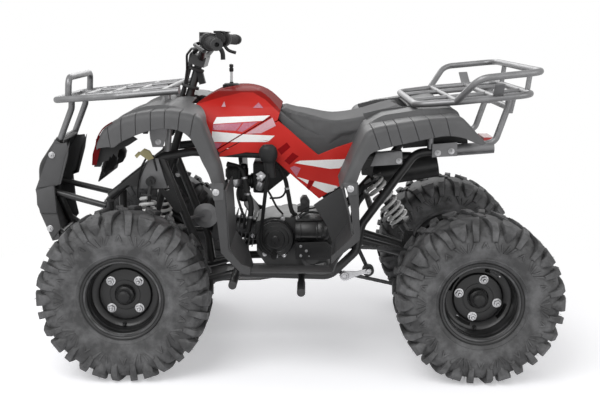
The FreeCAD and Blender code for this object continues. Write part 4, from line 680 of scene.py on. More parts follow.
# %% Rounded corners on carried nodes
def smooth_faces():
    """A small group of geometry nodes: smooth faces, with sharp edges only at real corners."""
    group = bpy.data.node_groups.new("smooth_faces", "GeometryNodeTree")
    group.interface.new_socket("Geometry", in_out="INPUT", socket_type="NodeSocketGeometry")
    group.interface.new_socket("Geometry", in_out="OUTPUT", socket_type="NodeSocketGeometry")
    start = group.nodes.new("NodeGroupInput")
    end = group.nodes.new("NodeGroupOutput")
    plain = group.nodes.new("GeometryNodeRemoveAttribute")
    plain.inputs["Name"].default_value = "custom_normal"
    faces = group.nodes.new("GeometryNodeSetShadeSmooth")
    faces.domain = "FACE"
    edges = group.nodes.new("GeometryNodeSetShadeSmooth")
    edges.domain = "EDGE"
    edges.inputs["Shade Smooth"].default_value = False
    angle = group.nodes.new("GeometryNodeInputMeshEdgeAngle")
    steep = group.nodes.new("FunctionNodeCompare")
    steep.operation = "GREATER_THAN"
    steep.inputs[1].default_value = math.radians(30.0)
    chain = [start, plain, faces, edges, end]
    for before, after in zip(chain, chain[1:]):
        group.links.new(before.outputs[0], after.inputs[0])
    group.links.new(angle.outputs[0], steep.inputs[0])
    group.links.new(steep.outputs[0], edges.inputs["Selection"])
    return group


smooth_group = smooth_faces()


def soften(names, width, segments=2, angle=32.0):
    """Rounds the corners of carried nodes, with the width in mm and the angle in degrees."""
    for name in names:
        carried = nodes[name]
        weld = carried.modifiers.new("weld", "WELD")
        weld.merge_threshold = 0.02 * MM
        smooth = carried.modifiers.new("smooth", "NODES")
        smooth.node_group = smooth_group
        bevel = carried.modifiers.new("bevel", "BEVEL")
        bevel.width = width * MM
        bevel.segments = segments
        bevel.limit_method = "ANGLE"
        bevel.angle_limit = math.radians(angle)
        bevel.harden_normals = True


soften(["tank_cover", "side_panels"], width=1.6, segments=3)
soften(["bumper_cover", "nose_panel"], width=1.2)
soften(["crankcase", "cylinder"], width=1.0)
print("softened nodes:", [name for name, node in nodes.items() if node.modifiers])

# %% [markdown]
# The wheels are pressed steel. Their section is drawn once as a profile and turned about the axle: the
# rolled lip, the deep barrel, the step down to the disc and the raised face with a fine ring pressed into
# it. The rear discs also have four curved windows, cut with a Boolean modifier that is applied straight
# away.

# %% Cutting one mesh with another
def cut_away(bm, cutter):
    """The first bmesh less the second, both closed."""
    pair = []
    for index, source in enumerate((bm, cutter)):
        bmesh.ops.recalc_face_normals(source, faces=source.faces)
        mesh = bpy.data.meshes.new("cut_%d" % index)
        source.to_mesh(mesh)
        source.free()
        made = bpy.data.objects.new(mesh.name, mesh)
        bpy.context.scene.collection.objects.link(made)
        pair.append(made)
    boolean = pair[0].modifiers.new("cut", "BOOLEAN")
    boolean.operation = "DIFFERENCE"
    boolean.object = pair[1]
    bpy.context.view_layer.update()
    evaluated = pair[0].evaluated_get(bpy.context.evaluated_depsgraph_get())
    result = bmesh.new()
    result.from_mesh(evaluated.data)
    for made in pair:
        mesh = made.data
        bpy.data.objects.remove(made)
        bpy.data.meshes.remove(mesh)
    return result


# %% Rims
rim_wall = 4.0
rim_bore = bead_radius - rim_wall


def rim_profile(half, face, raised):
    """From lip to back, by the half width, the height of the raised face and its radius (mm)."""
    back = face - 8.0
    outside = [(115.4, half + 0.8), (115.2, half + 2.6), (114.0, half + 3.8), (112.0, half + 4.0),
               (109.6, half + 3.2), (107.6, half + 1.2), (106.4, half - 1.8), (104.6, half - 4.2),
               (101.0, half - 5.6), (99.0, half - 7.5), (rim_bore, half - 11.0), (rim_bore, half - 22.0),
               (rim_bore - 2.2, half - 25.0), (rim_bore - 3.0, half - 29.0),
               (rim_bore - 3.0, back + 15.0), (rim_bore - 4.4, back + 9.5), (rim_bore - 8.4, back + 5.6),
               (rim_bore - 13.0, back + 4.4), (raised + 8.0, back + 4.0), (raised + 5.0, back + 4.8),
               (raised + 2.4, back + 8.2), (raised + 0.8, face + 3.0), (raised - 1.6, face + 4.0),
               (43.4, face + 4.0), (42.7, face + 3.0), (41.3, face + 3.0), (40.6, face + 4.0),
               (29.6, face + 4.0), (28.0, face + 3.0)]
    behind = [(28.0, face), (raised - 4.0, face), (raised + 4.0, back), (rim_bore - 7.0, back),
              (rim_bore, back - 8.0), (rim_bore, 6.0 - half), (104.0, -half - 1.0), (110.0, -half - 4.0),
              (114.0, -half - 3.8), (115.4, -half - 1.0), (113.0, -half), (104.5, 1.0 - half),
              (bead_radius, 4.0 - half), (bead_radius, half - 4.0), (104.5, half - 1.0), (113.0, half)]
    return outside + behind


def window(bm, centre, axis, middle, half_sweep, radii, depth):
    """A curved slot: a band between two radii over a sweep of degrees, along the axis."""
    across, third = frame_about(axis)
    steps = 8
    arcs = []
    for radius in radii:
        arc = []
        for step in range(steps + 1):
            angle = math.radians(middle - half_sweep + 2 * half_sweep * step / steps)
            arc.append(centre + frame_turn(across, third, angle) * radius * MM)
        arcs.append(arc)
    slab(bm, [point + axis * depth[0] * MM for point in arcs[0] + arcs[1][::-1]],
         axis * (depth[1] - depth[0]) * MM)


def rim(name, node, body, face, raised, windows):
    low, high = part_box(node)
    whole = bmesh.new()
    wheels = []
    if high.y - low.y > BOTH_WHEELS:
        inner = min(abs(vert.co.y) for vert in nodes[node].data.vertices)
        wheels = [(side, Vector(((low.x + high.x) / 2, side * (high.y + inner) / 2,
                                 (low.z + high.z) / 2))) for side in (1, -1)]
        half = (high.y - inner) / 2 / MM - rim_wall
    else:
        side = 1 if high.y > 0 else -1
        wheels = [(side, (low + high) / 2)]
        half = (high.y - low.y) / 2 / MM - rim_wall
    for side, centre in wheels:
        axis = LEFT * side
        bm = bmesh.new()
        lathe(bm, rim_profile(half, face, raised), centre, axis, 96)
        if windows:
            cutter = bmesh.new()
            for step in range(4):
                window(cutter, centre, axis, middle=60.0 + 90.0 * step, half_sweep=17.0,
                       radii=(raised + 9.0, rim_bore - 12.0), depth=(face - 30.0, face + 20.0))
            bm = cut_away(bm, cutter)
        mesh = bpy.data.meshes.new("wheel")
        bm.to_mesh(mesh)
        bm.free()
        whole.from_mesh(mesh)
        bpy.data.meshes.remove(mesh)
        foot = centre + Vector((0.006, 0, -(rim_bore - 11.0) * MM)) + axis * (face - 6.0) * MM
        lathe(whole, [(0, 0), (5.6, 0), (5.6, 5), (4.2, 7), (4.2, 15), (3.2, 17), (0, 17)], foot, axis,
              16)
    made = finish_piece(name, whole, rim_paint, [node], 30.0, body)
    print(name, len(made.data.polygons), "faces")
    return made


rim("front_rim_pressed_left", "front_rim_left", "front_wheel_left", 18.0, 70.0, False)
rim("front_rim_pressed_right", "front_rim_right", "front_wheel_right", 18.0, 70.0, False)
rim("rear_rims_pressed", "rear_rims", "rear_axle", 30.0, 66.0, True)

# %% [markdown]
# Bolts and nuts are the brightest points of the machine. One helper draws them all: a washer, a six-sided
# head with a chamfered top, and the rounded end of the stud. Those on one body are gathered into one
# mesh.

# %% Bolts and nuts
def bolt(bm, place, axis, across_flats, height, washer=1.0, turn=0.0, stud=0.0):
    """A hex head or nut standing on a surface, with sizes in mm and its place in metres."""
    axis = axis.normalized()
    across, third = frame_about(axis)
    corner = across_flats / math.sqrt(3.0)
    lathe(bm, [(0, -0.5), (corner * 1.22, -0.5), (corner * 1.22, washer - 0.3), (corner * 1.16, washer),
               (0, washer)], place, axis, 20)
    rings = []
    for radius, level in ((corner, washer * 0.5), (corner, washer + height * 0.82),
                          (corner * 0.86, washer + height)):
        ring = []
        for step in range(6):
            angle = math.radians(turn + 60.0 * step)
            out = frame_turn(across, third, angle)
            ring.append(bm.verts.new(place + out * radius * MM + axis * level * MM))
        rings.append(ring)
    close_ends(bm, rings)
    if stud:
        top = washer + height
        lathe(bm, [(0, top - 1.0), (stud, top - 1.0), (stud, top + stud * 0.8),
                   (stud * 0.6, top + stud * 1.3), (0, top + stud * 1.3)], place, axis, 14)


nut_circle = 55.0


def wheel_fasteners(name, body, centres, face, first_angle):
    """Four flanged nuts round each hub."""
    bm = bmesh.new()
    for side, centre in centres:
        axis = LEFT * side
        for step in range(4):
            angle = math.radians(first_angle + 90.0 * step)
            out = Vector((math.cos(angle), 0, math.sin(angle)))
            place = centre + out * nut_circle * MM + axis * (face + rim_wall + 0.1) * MM
            bolt(bm, place, axis, 18.6, 9.4, 1.6, 8.0 * step, 5.2)
    return finish_piece(name, bm, bright_steel, body=body)


def hub_cap(name, body, centres, face):
    """The dust cap: a short collar and a dome over the axle nut."""
    bm = bmesh.new()
    for side, centre in centres:
        profile = [(0, 18.0), (22.5, 18.0), (22.5, 25.0), (21.5, 26.0), (19.0, 26.0), (19.0, 31.0)]
        profile += [(19.0 * math.cos(a), 31.0 + 9.0 * math.sin(a)) for a in (0.35, 0.7, 1.05,
                                                                             1.35)] + [(0, 40.0)]
        lathe(bm, [(r, face + y) for r, y in profile], centre, LEFT * side, 40)
    return finish_piece(name, bm, black_plastic, body=body)


front_face, rear_face = 18.0, 30.0
rear_low, rear_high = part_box("rear_tyres")
rear_middle = Vector(((rear_low.x + rear_high.x) / 2, rear_high.y - rear_tyre_width * MM / 2,
                      (rear_low.z + rear_high.z) / 2))
rear_wheels = [(1, rear_middle), (-1, Vector((rear_middle.x, -rear_middle.y, rear_middle.z)))]
for side, word in ((1, "left"), (-1, "right")):
    centre = [(side, centre_of("front_tyre_" + word))]
    wheel_fasteners("front_nuts_" + word, "front_wheel_" + word, centre, front_face, 45.0)
    hub_cap("front_dust_cap_" + word, "front_wheel_" + word, centre, front_face)
wheel_fasteners("rear_nuts", "rear_axle", rear_wheels, rear_face, 15.0)
hub_cap("rear_dust_caps", "rear_axle", rear_wheels, rear_face)

# %% [markdown]
# A coil spring is a round wire on a helix, and its end turns close up. The axis of each spring is found
# from the points of its node, as the longest direction of the cloud, so the smooth wire lies where the
# flat-sided one was.

# %% Springs
def spring(bm, points, turns, wire):
    """A smooth helix along the long axis of a cloud of points (metres)."""
    middle = sum(points, Vector()) / len(points)
    axis = (max(points, key=lambda p: p.z) - min(points, key=lambda p: p.z)).normalized()
    for _ in range(12):
        pull = sum(((p - middle) * (p - middle).dot(axis) for p in points), Vector())
        axis = pull.normalized()
    if axis.z < 0:
        axis = -axis
    along = [(p - middle).dot(axis) for p in points]
    low, high = min(along) + wire, max(along) - wire
    radius = max(((p - middle) - axis * (p - middle).dot(axis)).length for p in points) - wire
    across, third = frame_about(axis)
    steps = turns * 20
    path = []
    for step in range(steps + 1):
        share = step / steps
        eased = share + 0.42 / turns * (math.sin(2 * math.pi * share) * -0.5)
        angle = 2 * math.pi * turns * share
        path.append(middle + axis * (low + (high - low) * eased)
                    + frame_turn(across, third, angle) * radius)
    sweep(bm, path, wire, 12)


middle_zone = 0.07  # metres each side of the middle plane, where the rear spring lies
spring_wire = 5.4
spring_points = {1: [], 0: [], -1: []}
for vert in nodes["springs"].data.vertices:
    side = 0 if abs(vert.co.y) < middle_zone else (1 if vert.co.y > 0 else -1)
    spring_points[side].append(vert.co.copy())
bm = bmesh.new()
for side, turns in ((1, 9), (-1, 9), (0, 8)):
    spring(bm, spring_points[side], turns, spring_wire * MM)
made = finish_piece("spring_coils", bm, spring_enamel, ["springs"], 60.0)
print("springs", len(made.data.polygons), "faces")

# %% [markdown]
# The fenders are the largest moulded forms. Each is one sheet carried along the arch of its wheel: the
# section starts at an inner wall, crosses a raised deck and a lower shelf, turns over a rounded shoulder
# and drops to the open edge. Shallow grooves split it into plates, as the real moulding has to let it be
# bent by hand. The section is written once, and the two lines that guide it, along the top and along the
# edge, give the arch.

# %% Guide lines
WHEELBASE_SHIFT = 39.0
SHEET = 3.6  # thickness of the moulded sheets, mm


def side_points(pairs):
    """Points of the side view, given as (x ahead of the wheelbase's middle, height) in mm."""
    return [Vector((x - WHEELBASE_SHIFT, 0, z)) for x, z in pairs]


def guide(pairs, parts=6):
    return smooth_path(side_points(pairs), parts)


def at_index(line, position):
    index = min(int(position), len(line) - 2)
    return line[index].lerp(line[index + 1], position - index)


# %% Fender shell
def fender_stations(top, creases, width=1.5):
    """Positions along the top line, each with how far it lies in a groove and which plate it is on."""
    marks = []
    for crease in creases:
        for index in range(len(top) - 1):
            if (top[index].x - crease) * (top[index + 1].x - crease) <= 0:
                share = (crease - top[index].x) / (top[index + 1].x - top[index].x)
                step = width / (top[index + 1] - top[index]).length
                marks.append((index + share, step))
                break
    rows = []
    for index in range(len(top)):
        if all(abs(index - mark) > 1.6 * step for mark, step in marks):
            rows.append((float(index), 0.0))
    for mark, step in marks:
        rows += [(mark - step, 0.0), (mark - 0.25 * step, -1.0), (mark + 0.25 * step, -1.0),
                 (mark + step, 0.0)]
    rows.sort()
    plates = []
    for position, groove in rows:
        plate = sum(1 for mark, _ in marks if position > mark)
        plates.append((position, groove, plate % 2))
    return plates


def close_sheet(bm, rings):
    """Bridges a sheet's rings, which go out on one skin and back on the other, and closes its ends."""
    bridge(bm, rings)
    for ring in (rings[0], rings[-1]):
        count = len(ring)
        for index in range(count // 2 - 1):
            bm.faces.new((ring[index], ring[index + 1], ring[count - 2 - index], ring[count - 1 - index]))


def fender_shell(bm, side, top, edge, rows, wide_y, shelf_y, outer_y, deck_lift, narrowing, corner=20.0):
    """The sheet as a closed solid: outer skin, inner skin, and the walls between them."""
    rings = []
    for position, groove, plate in rows:
        t = at_index(top, position)
        e = at_index(edge, position)
        ahead = (at_index(top, min(position + 0.5, len(top) - 1)) - at_index(top,
                                                                             max(position - 0.5,
                                                                                 0))).normalized()
        normal = Vector((ahead.z, 0, -ahead.x))
        if normal.dot(e - t) > 0:
            normal = -normal
        drop = e - t
        length = drop.length
        down = drop / length
        radius = min(corner, 0.7 * length)
        lift = 1.1 * plate + 2.2 * groove
        deck = deck_lift(position / (len(top) - 1))
        narrow = narrowing(position / (len(top) - 1))
        inner_y = wide_y + (outer_y - 76.0 - wide_y) * narrow
        deck_y = shelf_y + (outer_y - 52.0 - shelf_y) * narrow
        profile = [(inner_y, 0.0, deck + 1.0, 0.0), (inner_y + 14.0, 0.0, deck, 0.0),
                   (deck_y - 5.0, 0.0, deck - 0.6, 0.0), (deck_y, 0.0, deck * 0.5, 0.3),
                   (deck_y + 5.0, 0.0, 0.4, 0.6),
                   (max(outer_y - radius * 1.8, deck_y + 8.0), 0.0, 0.0, 0.9)]
        outer = []
        inner = []
        for y, along, up, share in profile:
            outer.append((y, t + normal * (up + lift * share)))
            inner.append((y, t + normal * (up + lift * share - SHEET)))
        for turn in (0.0, 0.30, 0.62, 0.94, 1.26, math.pi / 2):
            y = outer_y - radius + radius * math.sin(turn)
            middle = t + down * radius * (1 - math.cos(turn))
            out_y, out_n = math.sin(turn), math.cos(turn)
            outer.append((y + lift * out_y, middle + normal * lift * out_n))
            inner.append((y + (lift - SHEET) * out_y, middle + normal * (lift - SHEET) * out_n))
        for share in (0.55, 0.96, 1.0):
            reach = radius + (length - radius) * share
            tuck = 0.0 if share < 1.0 else 1.2
            outer.append((outer_y + lift - tuck, t + down * reach))
            inner.append((outer_y + lift - SHEET + tuck,
                          t + down * (reach - (0.4 if share == 1.0 else 0.0))))
        loop = outer + inner[::-1]
        rings.append([bm.verts.new(at(p.x, side * y, p.z)) for y, p in loop])
    close_sheet(bm, rings)


def sheet_ring(bm, middle, ahead, rises):
    """A ring of a sheet across the machine: rises are (y, height above the guide line)."""
    normal = Vector((-ahead.z, 0, ahead.x))
    if normal.z < 0:
        normal = -normal
    outer = [(y, middle + normal * rise) for y, rise in rises]
    inner = [(y, p - normal * SHEET) for y, p in outer]
    return [bm.verts.new(at(p.x, y, p.z)) for y, p in outer + inner[::-1]]


front_top_line = guide([
    (547, 655), (546, 668), (542, 682), (535, 695), (524, 709), (505, 722), (479, 735), (439, 746),
    (399, 752), (355, 754), (315, 749), (285, 741), (266, 727), (255, 700), (243, 668), (232, 634),
    (220, 600), (210, 538)])
front_edge_line = guide([
    (545, 650), (541, 654), (535, 655), (527, 656), (515, 657), (499, 657), (479, 671), (439, 689),
    (399, 702), (357, 706), (322, 700), (297, 682), (281, 655), (270, 629), (262, 611), (253, 594),
    (245, 574), (235, 536)])
front_creases = [x - WHEELBASE_SHIFT for x in (516, 479, 440, 400, 362, 322, 285)]
rear_top_line = guide([
    (-104, 544), (-127, 600), (-146, 642), (-160, 672), (-176, 699), (-206, 710), (-240, 717),
    (-285, 724), (-330, 731), (-375, 734), (-421, 736), (-441, 722), (-466, 695), (-491, 668)])
rear_edge_line = guide([
    (-146, 556), (-163, 604), (-180, 634), (-188, 641), (-198, 646), (-224, 654), (-257, 662),
    (-302, 672), (-347, 681), (-388, 687), (-428, 682), (-446, 675), (-463, 668), (-480, 662)])
rear_creases = [x - WHEELBASE_SHIFT for x in (-189, -224, -252, -296, -337, -383)]


def front_deck(share):
    """The deck stands 10 mm above the shelf over the wheel and runs out towards both ends."""
    return 10.0 * max(0.0, min(1.0, (share - 0.26) * 6.0, (0.62 - share) * 7.0))


def leg_share(share):
    """How far the front fender has narrowed to its leg: 0 over the wheel, 1 on the leg behind it."""
    return max(0.0, min(1.0, (share - 0.62) * 9.0))


def rear_deck(share):
    return 15.0 * max(0.0, min(1.0, (share - 0.30) * 7.0, (0.86 - share) * 8.0))


def hole_cutter(points, radius):
    """A straight round bar used only to cut."""
    cutter = bmesh.new()
    sweep(cutter, points, radius * MM, 32)
    return cutter


fender_margin = 1.2  # mm that the raised plates need inside the node's box
front_outer = reach_of("front_fenders") - fender_margin
rear_outer = reach_of("rear_fenders") - fender_margin

rows = fender_stations(front_top_line, front_creases)
bonnet = bmesh.new()
bonnet_from, bonnet_to = 12.0, 60.0  # positions on the front top line
bonnet_half, tail_half = 140.0, 150.0  # where the crown across the sheet has run out, mm
rings = []
for position in [row[0] for row in rows if bonnet_from < row[0] < bonnet_to]:
    ahead = (at_index(front_top_line, position + 0.5) - at_index(front_top_line,
                                                                 position - 0.5)).normalized()
    share = position / (len(front_top_line) - 1)
    deck = front_deck(share)
    rise = -13.0 + 20.0 * max(0.0, min(1.0, (share - 0.44) * 9.0))
    rises = [(y, deck + 1.0 + rise * max(0.0, 1.0 - (abs(y) / bonnet_half) ** 3))
             for y in (-153.0, -148.0, -128.0, -118.0, -60.0, 0.0, 60.0, 118.0, 128.0, 148.0, 153.0)]
    rings.append(sheet_ring(bonnet, at_index(front_top_line, position), ahead, rises))
close_sheet(bonnet, rings)
column_joint = next(joint for joint in frame["joints"] if joint["name"] == "steering")
pivot = Vector(column_joint["pos_m"])
column_axis = Vector(column_joint["axis"]).normalized()
bm = cut_away(bonnet, hole_cutter([pivot - column_axis * 0.30, pivot - column_axis * 0.02], 40.0))
for side in SIDES:
    fender_shell(bm, side, front_top_line, front_edge_line, rows, wide_y=150.0, shelf_y=318.0,
                 outer_y=front_outer, deck_lift=front_deck, narrowing=leg_share)
made = finish_piece("front_fender_moulding", bm, dark_plastic, ["front_fenders"], 24.0)
print("front fender", len(made.data.polygons), "faces, box", [round(v, 3) for v in made.dimensions])

bm = bmesh.new()
rows = fender_stations(rear_top_line, rear_creases)
for side in SIDES:
    fender_shell(bm, side, rear_top_line, rear_edge_line, rows, wide_y=157.0, shelf_y=268.0,
                 outer_y=rear_outer, deck_lift=rear_deck, narrowing=lambda share: 0.0, corner=18.0)
tail_line = guide([(-306, 748), (-350, 757), (-395, 764), (-414, 755), (-432, 737), (-462, 703),
                   (-491, 668)])
rings = []
for index, t in enumerate(tail_line):
    ahead = (tail_line[min(index + 1, len(tail_line) - 1)] - tail_line[max(index - 1, 0)]).normalized()
    rises = [(y, 5.0 * max(0.0, 1.0 - (abs(y) / tail_half) ** 6) - 4.6)
             for y in (-158, -152, -146, -100, 0, 100, 146, 152, 158)]
    rings.append(sheet_ring(bm, t, ahead, rises))
close_sheet(bm, rings)
inner_wall = [(-176, 724), (-232, 738), (-300, 745), (-330, 752), (-395, 760), (-428, 736), (-474, 682),
              (-460, 676), (-300, 668), (-206, 656)]
for side in SIDES:
    low_y = 155.0 if side > 0 else -158.6
    slab(bm, [(p + Vector((0, low_y, 0))) * MM for p in side_points(inner_wall)], LEFT * SHEET * MM)
made = finish_piece("rear_fender_moulding", bm, dark_plastic, ["rear_fenders"], 24.0)
print("rear fender", len(made.data.polygons), "faces, box", [round(v, 3) for v in made.dimensions])

# %% [markdown]
# Stripes and vents are thin films on the red bodywork. A film starts as a flat outline in the side view.
# It is cut into small cells and each corner is dropped along the machine's width onto the body, found
# with a ray, then the sheet gets half a millimetre of thickness. The outlines are plain slanted bars in
# white and mauve.

# %% Films laid on the bodywork
RAY_START = 700.0  # rays across the machine start this far from its middle, mm


def body_surface(names):
    """A tree of the carried nodes' faces, for casting rays."""
    verts, faces = [], []
    for name in names:
        mesh = nodes[name].data
        base = len(verts)
        verts += [vert.co.copy() for vert in mesh.vertices]
        faces += [tuple(base + index for index in face.vertices) for face in mesh.polygons]
    return BVHTree.FromPolygons(verts, faces)


red_body = body_surface(["tank_cover", "side_panels"])


def film(bm, outline, side, proud=0.5, cell=7.0):
    """A thin closed sheet with the given outline (x, height in mm), lying on the red bodywork."""
    flat = bmesh.new()
    verts = [flat.verts.new((x, 0.0, z)) for x, z in outline]
    flat.faces.new(verts)
    for axis in (0, 2):
        low = min(point[axis // 2] for point in outline)
        high = max(point[axis // 2] for point in outline)
        normal = (1, 0, 0) if axis == 0 else (0, 0, 1)
        steps = max(1, int((high - low) / cell))
        for step in range(1, steps):
            place = [0.0, 0.0, 0.0]
            place[axis] = low + (high - low) * step / steps
            geometry = flat.verts[:] + flat.edges[:] + flat.faces[:]
            bmesh.ops.bisect_plane(flat, geom=geometry, plane_co=place, plane_no=normal)
    bmesh.ops.triangulate(flat, faces=flat.faces)
    top, low_ring = {}, {}
    for vert in flat.verts:
        hit = normal = None
        for step_x, step_z in ((0, 0), (3, 0), (-3, 0), (0, 3), (0, -3)):
            start = at(vert.co.x + step_x, side * RAY_START, vert.co.z + step_z)
            found, facing, _, _ = red_body.ray_cast(start, Vector((0, -side, 0)))
            if found and (hit is None or side * found.y > side * hit.y + 0.0015):
                hit, normal = found - at(step_x, 0, step_z), facing
        if hit is None:
            hit, normal, _, _ = red_body.find_nearest(at(vert.co.x, side * 170.0, vert.co.z))
        if normal.y * side < 0:
            normal = -normal
        top[vert] = bm.verts.new(hit + normal * proud * MM)
        low_ring[vert] = bm.verts.new(hit - normal * 0.4 * MM)
    for face in flat.faces:
        bm.faces.new([top[vert] for vert in face.verts])
        bm.faces.new([low_ring[vert] for vert in reversed(face.verts)])
    for edge in flat.edges:
        if len(edge.link_faces) == 1:
            a, b = edge.verts
            bm.faces.new((top[a], top[b], low_ring[b], low_ring[a]))
    flat.free()


def film_piece(name, outlines, material, proud=0.5):
    bm = bmesh.new()
    for outline in outlines:
        for side in SIDES:
            film(bm, outline, side, proud)
    return finish_piece(name, bm, material, sharp=50.0)


film_white = enamel("film_white", colour(0.80, 0.79, 0.78))
film_mauve = enamel("film_mauve", colour(0.42, 0.10, 0.16))
film_pink = enamel("film_pink", colour(0.55, 0.30, 0.34))
film_deep = gloss_plastic("film_deep", colour(0.20, 0.001, 0.003), colour(0.26, 0.002, 0.004))
white_bars = [
    [(209, 713), (54, 718), (75, 703), (219, 694)],
    [(222, 673), (153, 667), (57, 644), (72, 643), (222, 643)],
    [(150, 666), (40, 661), (57, 646), (85, 650)],
    [(-18, 582), (-33, 589), (-172, 594), (-149, 567), (-121, 565)],
    [(-24, 541), (-59, 531), (-55, 520)],
    [(-69, 515), (-76, 529), (-149, 512), (-147, 506), (-112, 493)],
]
mauve_bars = [
    [(219, 692), (135, 697), (152, 675), (220, 677)],
    [(131, 697), (89, 700), (134, 671), (149, 674)],
    [(104, 739), (88, 754), (74, 739)],
    [(-16, 574), (-35, 567), (-23, 542), (-4, 568)],
    [(220, 641), (193, 639), (209, 619)],
]
pink_bars = [
    [(47, 712), (37, 689), (80, 668), (125, 666)],
    [(196, 742), (188, 757), (183, 742)],
]
deep_bars = [[(-60, 531), (-74, 529), (-58, 500), (-51, 506)]]
film_piece("side_stripes_white", white_bars, film_white)
film_piece("side_stripes_mauve", mauve_bars, film_mauve, 0.6)
film_piece("side_stripes_pale", pink_bars, film_pink, 0.55)
film_piece("side_stripes_deep", deep_bars, film_deep, 0.55)
vent_panes = [[(32, 622), (5, 642), (-5, 629), (21, 606)], [(12, 589), (-12, 613), (-29, 602), (-2, 577)]]
film_piece("side_vents", vent_panes, film_deep, 0.7)

# %% [markdown]
# The seat is a foam cushion under a stretched vinyl cover. The plain CAD block is remeshed evenly, shrunk
# a little and inflated by the Cloth modifier with pressure and no gravity, and every point may move only
# a few millimetres, so the cushion crowns between its edges but stays in its own space.

# %% Seat cushion
def inflated(name, node, voxel, shrink, most, pressure):
    """A swollen copy of a node's solid, as a mesh with no cloth left on it."""
    bm = bmesh.new()
    bm.from_mesh(nodes[node].data)
    bmesh.ops.remove_doubles(bm, verts=bm.verts, dist=0.02 * MM)
    mesh = bpy.data.meshes.new(name)
    bm.to_mesh(mesh)
    bm.free()
    made = bpy.data.objects.new(name, mesh)
    bpy.context.scene.collection.objects.link(made)
    remesh = made.modifiers.new("even", "REMESH")
    remesh.mode = "VOXEL"
    remesh.voxel_size = voxel * MM
    smooth = made.modifiers.new("smooth", "SMOOTH")
    smooth.iterations = 3
    smooth.factor = 0.5
    bpy.context.view_layer.update()
    even = bpy.data.meshes.new_from_object(made.evaluated_get(bpy.context.evaluated_depsgraph_get()))
    made.modifiers.clear()
    made.data = even
    even.calc_loop_triangles()
    for vert in even.vertices:
        vert.co -= vert.normal * shrink * MM
    rest = [vert.co.copy() for vert in even.vertices]
    cloth = made.modifiers.new("cloth", "CLOTH")
    cloth.settings.use_pressure = True
    cloth.settings.uniform_pressure_force = pressure
    cloth.settings.effector_weights.gravity = 0.0
    cloth.settings.tension_stiffness = 18.0
    cloth.settings.compression_stiffness = 18.0
    cloth.settings.bending_stiffness = 2.0
    cloth.settings.quality = 5
    scene = bpy.context.scene
    for frame_number in range(1, 21):
        scene.frame_set(frame_number)
    swollen = bpy.data.meshes.new_from_object(made.evaluated_get(bpy.context.evaluated_depsgraph_get()))
    made.modifiers.clear()
    made.data = swollen
    scene.frame_set(1)
    for vert, start in zip(swollen.vertices, rest):
        move = vert.co - start
        if move.length > most * MM:
            vert.co = start + move.normalized() * most * MM
    return made


cushion = inflated("seat_cushion", "seat", voxel=5.0, shrink=2.0, most=5.0, pressure=2.5)
# The foam sags under years of riders: the top sinks towards the back of the seat. Starts and lengths in
# metres
seat_sag = 0.011
sag_from, sag_run = -0.035, 0.115
sag_floor, sag_rise = 0.645, 0.045
for vert in cushion.data.vertices:
    back = min(max((sag_from - vert.co.x) / sag_run, 0.0), 1.0)
    height = min(max((vert.co.z - sag_floor) / sag_rise, 0.0), 1.0)
    vert.co.z -= seat_sag * height * back * back * (3 - 2 * back)
print("seat cushion:", len(cushion.data.vertices), "points")
cushion.data.materials.clear()
cushion.data.materials.append(seat_vinyl)
cushion.data.shade_smooth()
fine = cushion.modifiers.new("fine", "SUBSURF")
fine.levels = 1
fine.render_levels = 1
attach(cushion, "chassis")
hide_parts("seat")
print("cushion box:", [round(v, 3) for v in cushion.dimensions])

# %% [markdown]
# Small fittings are placed in the side view and then dropped onto whatever carries them with a ray, so a
# bolt sits on its plate whichever side it is seen from. Places are in mm: x ahead of the machine's
# origin, and height. The machine is the same on both sides here, so most fittings are made in pairs.

# %% Bolts on plates and tubes
chassis_shown = body_surface(["frame", "footwells", "rear_rack", "front_rack", "bumper", "bumper_cover"])
engine_shown = body_surface(["crankcase", "cylinder", "carburettor"])


def landing(surface, x, z, side):
    """Where a ray along the width meets the surface, with the way it faces."""
    start = at(x, side * RAY_START, z)
    hit, normal, _, _ = surface.ray_cast(start, Vector((0, -side, 0)))
    if hit is None:
        hit, normal, _, _ = surface.find_nearest(start * 0.4)
    if normal.y * side < 0:
        normal = -normal
    return hit, normal


def bolts(name, spots, surface, sides=SIDES, across=12.0, height=6.0):
    bm = bmesh.new()
    for index, (x, z) in enumerate(spots):
        for side in sides:
            hit, normal = landing(surface, x, z, side)
            bolt(bm, hit, normal.lerp(LEFT * side, 0.6), across, height, 1.6, 13.0 * index, across * 0.27)
    return finish_piece(name, bm, bright_steel)


bolts("rack_plate_bolts", [(-431, 613), (-470, 618)], chassis_shown, across=13.0)
bolts("lower_rail_bolts", [(74, 293), (16, 291), (-60, 292), (-111, 299)], engine_shown, (1,), 10.0, 5.0)
bolts("engine_bolts", [(129, 373), (115, 331), (-29, 400), (-89, 398), (96, 396), (20, 398)],
      engine_shown, (1,), 10.0, 5.0)

# %% [markdown]
# A dark red piping strip runs down the front edge of each front fender. Below it hangs a black splash
# flap with a torn, saw-toothed edge, and a grey tongue with one bolt hangs from the top of the side
# frame.

# %% Fender trim
def side_slab(bm, outline, near, far, side=1):
    """A flat plate in the side view between two distances from the middle, in mm."""
    y_low, y_high = sorted((side * near, side * far))
    slab(bm, [at(x, y_low, z) for x, z in outline], LEFT * (y_high - y_low) * MM)


def pair_slab(bm, outline, near, far):
    """The same plate on both sides."""
    for side in SIDES:
        side_slab(bm, outline, near, far, side)


def bevelled(bm, width):
    """Rounds every sharp edge of a mesh by a small amount."""
    least = math.radians(30)
    sharp = [edge for edge in bm.edges if len(edge.link_faces) == 2 and edge.calc_face_angle(0) > least]
    bmesh.ops.bevel(bm, geom=sharp, offset=width * MM, segments=2, profile=0.6, affect="EDGES")


def rounded_solid(bm, width):
    """The same rounding, after all faces have been turned outwards."""
    bmesh.ops.recalc_face_normals(bm, faces=bm.faces)
    bevelled(bm, width)


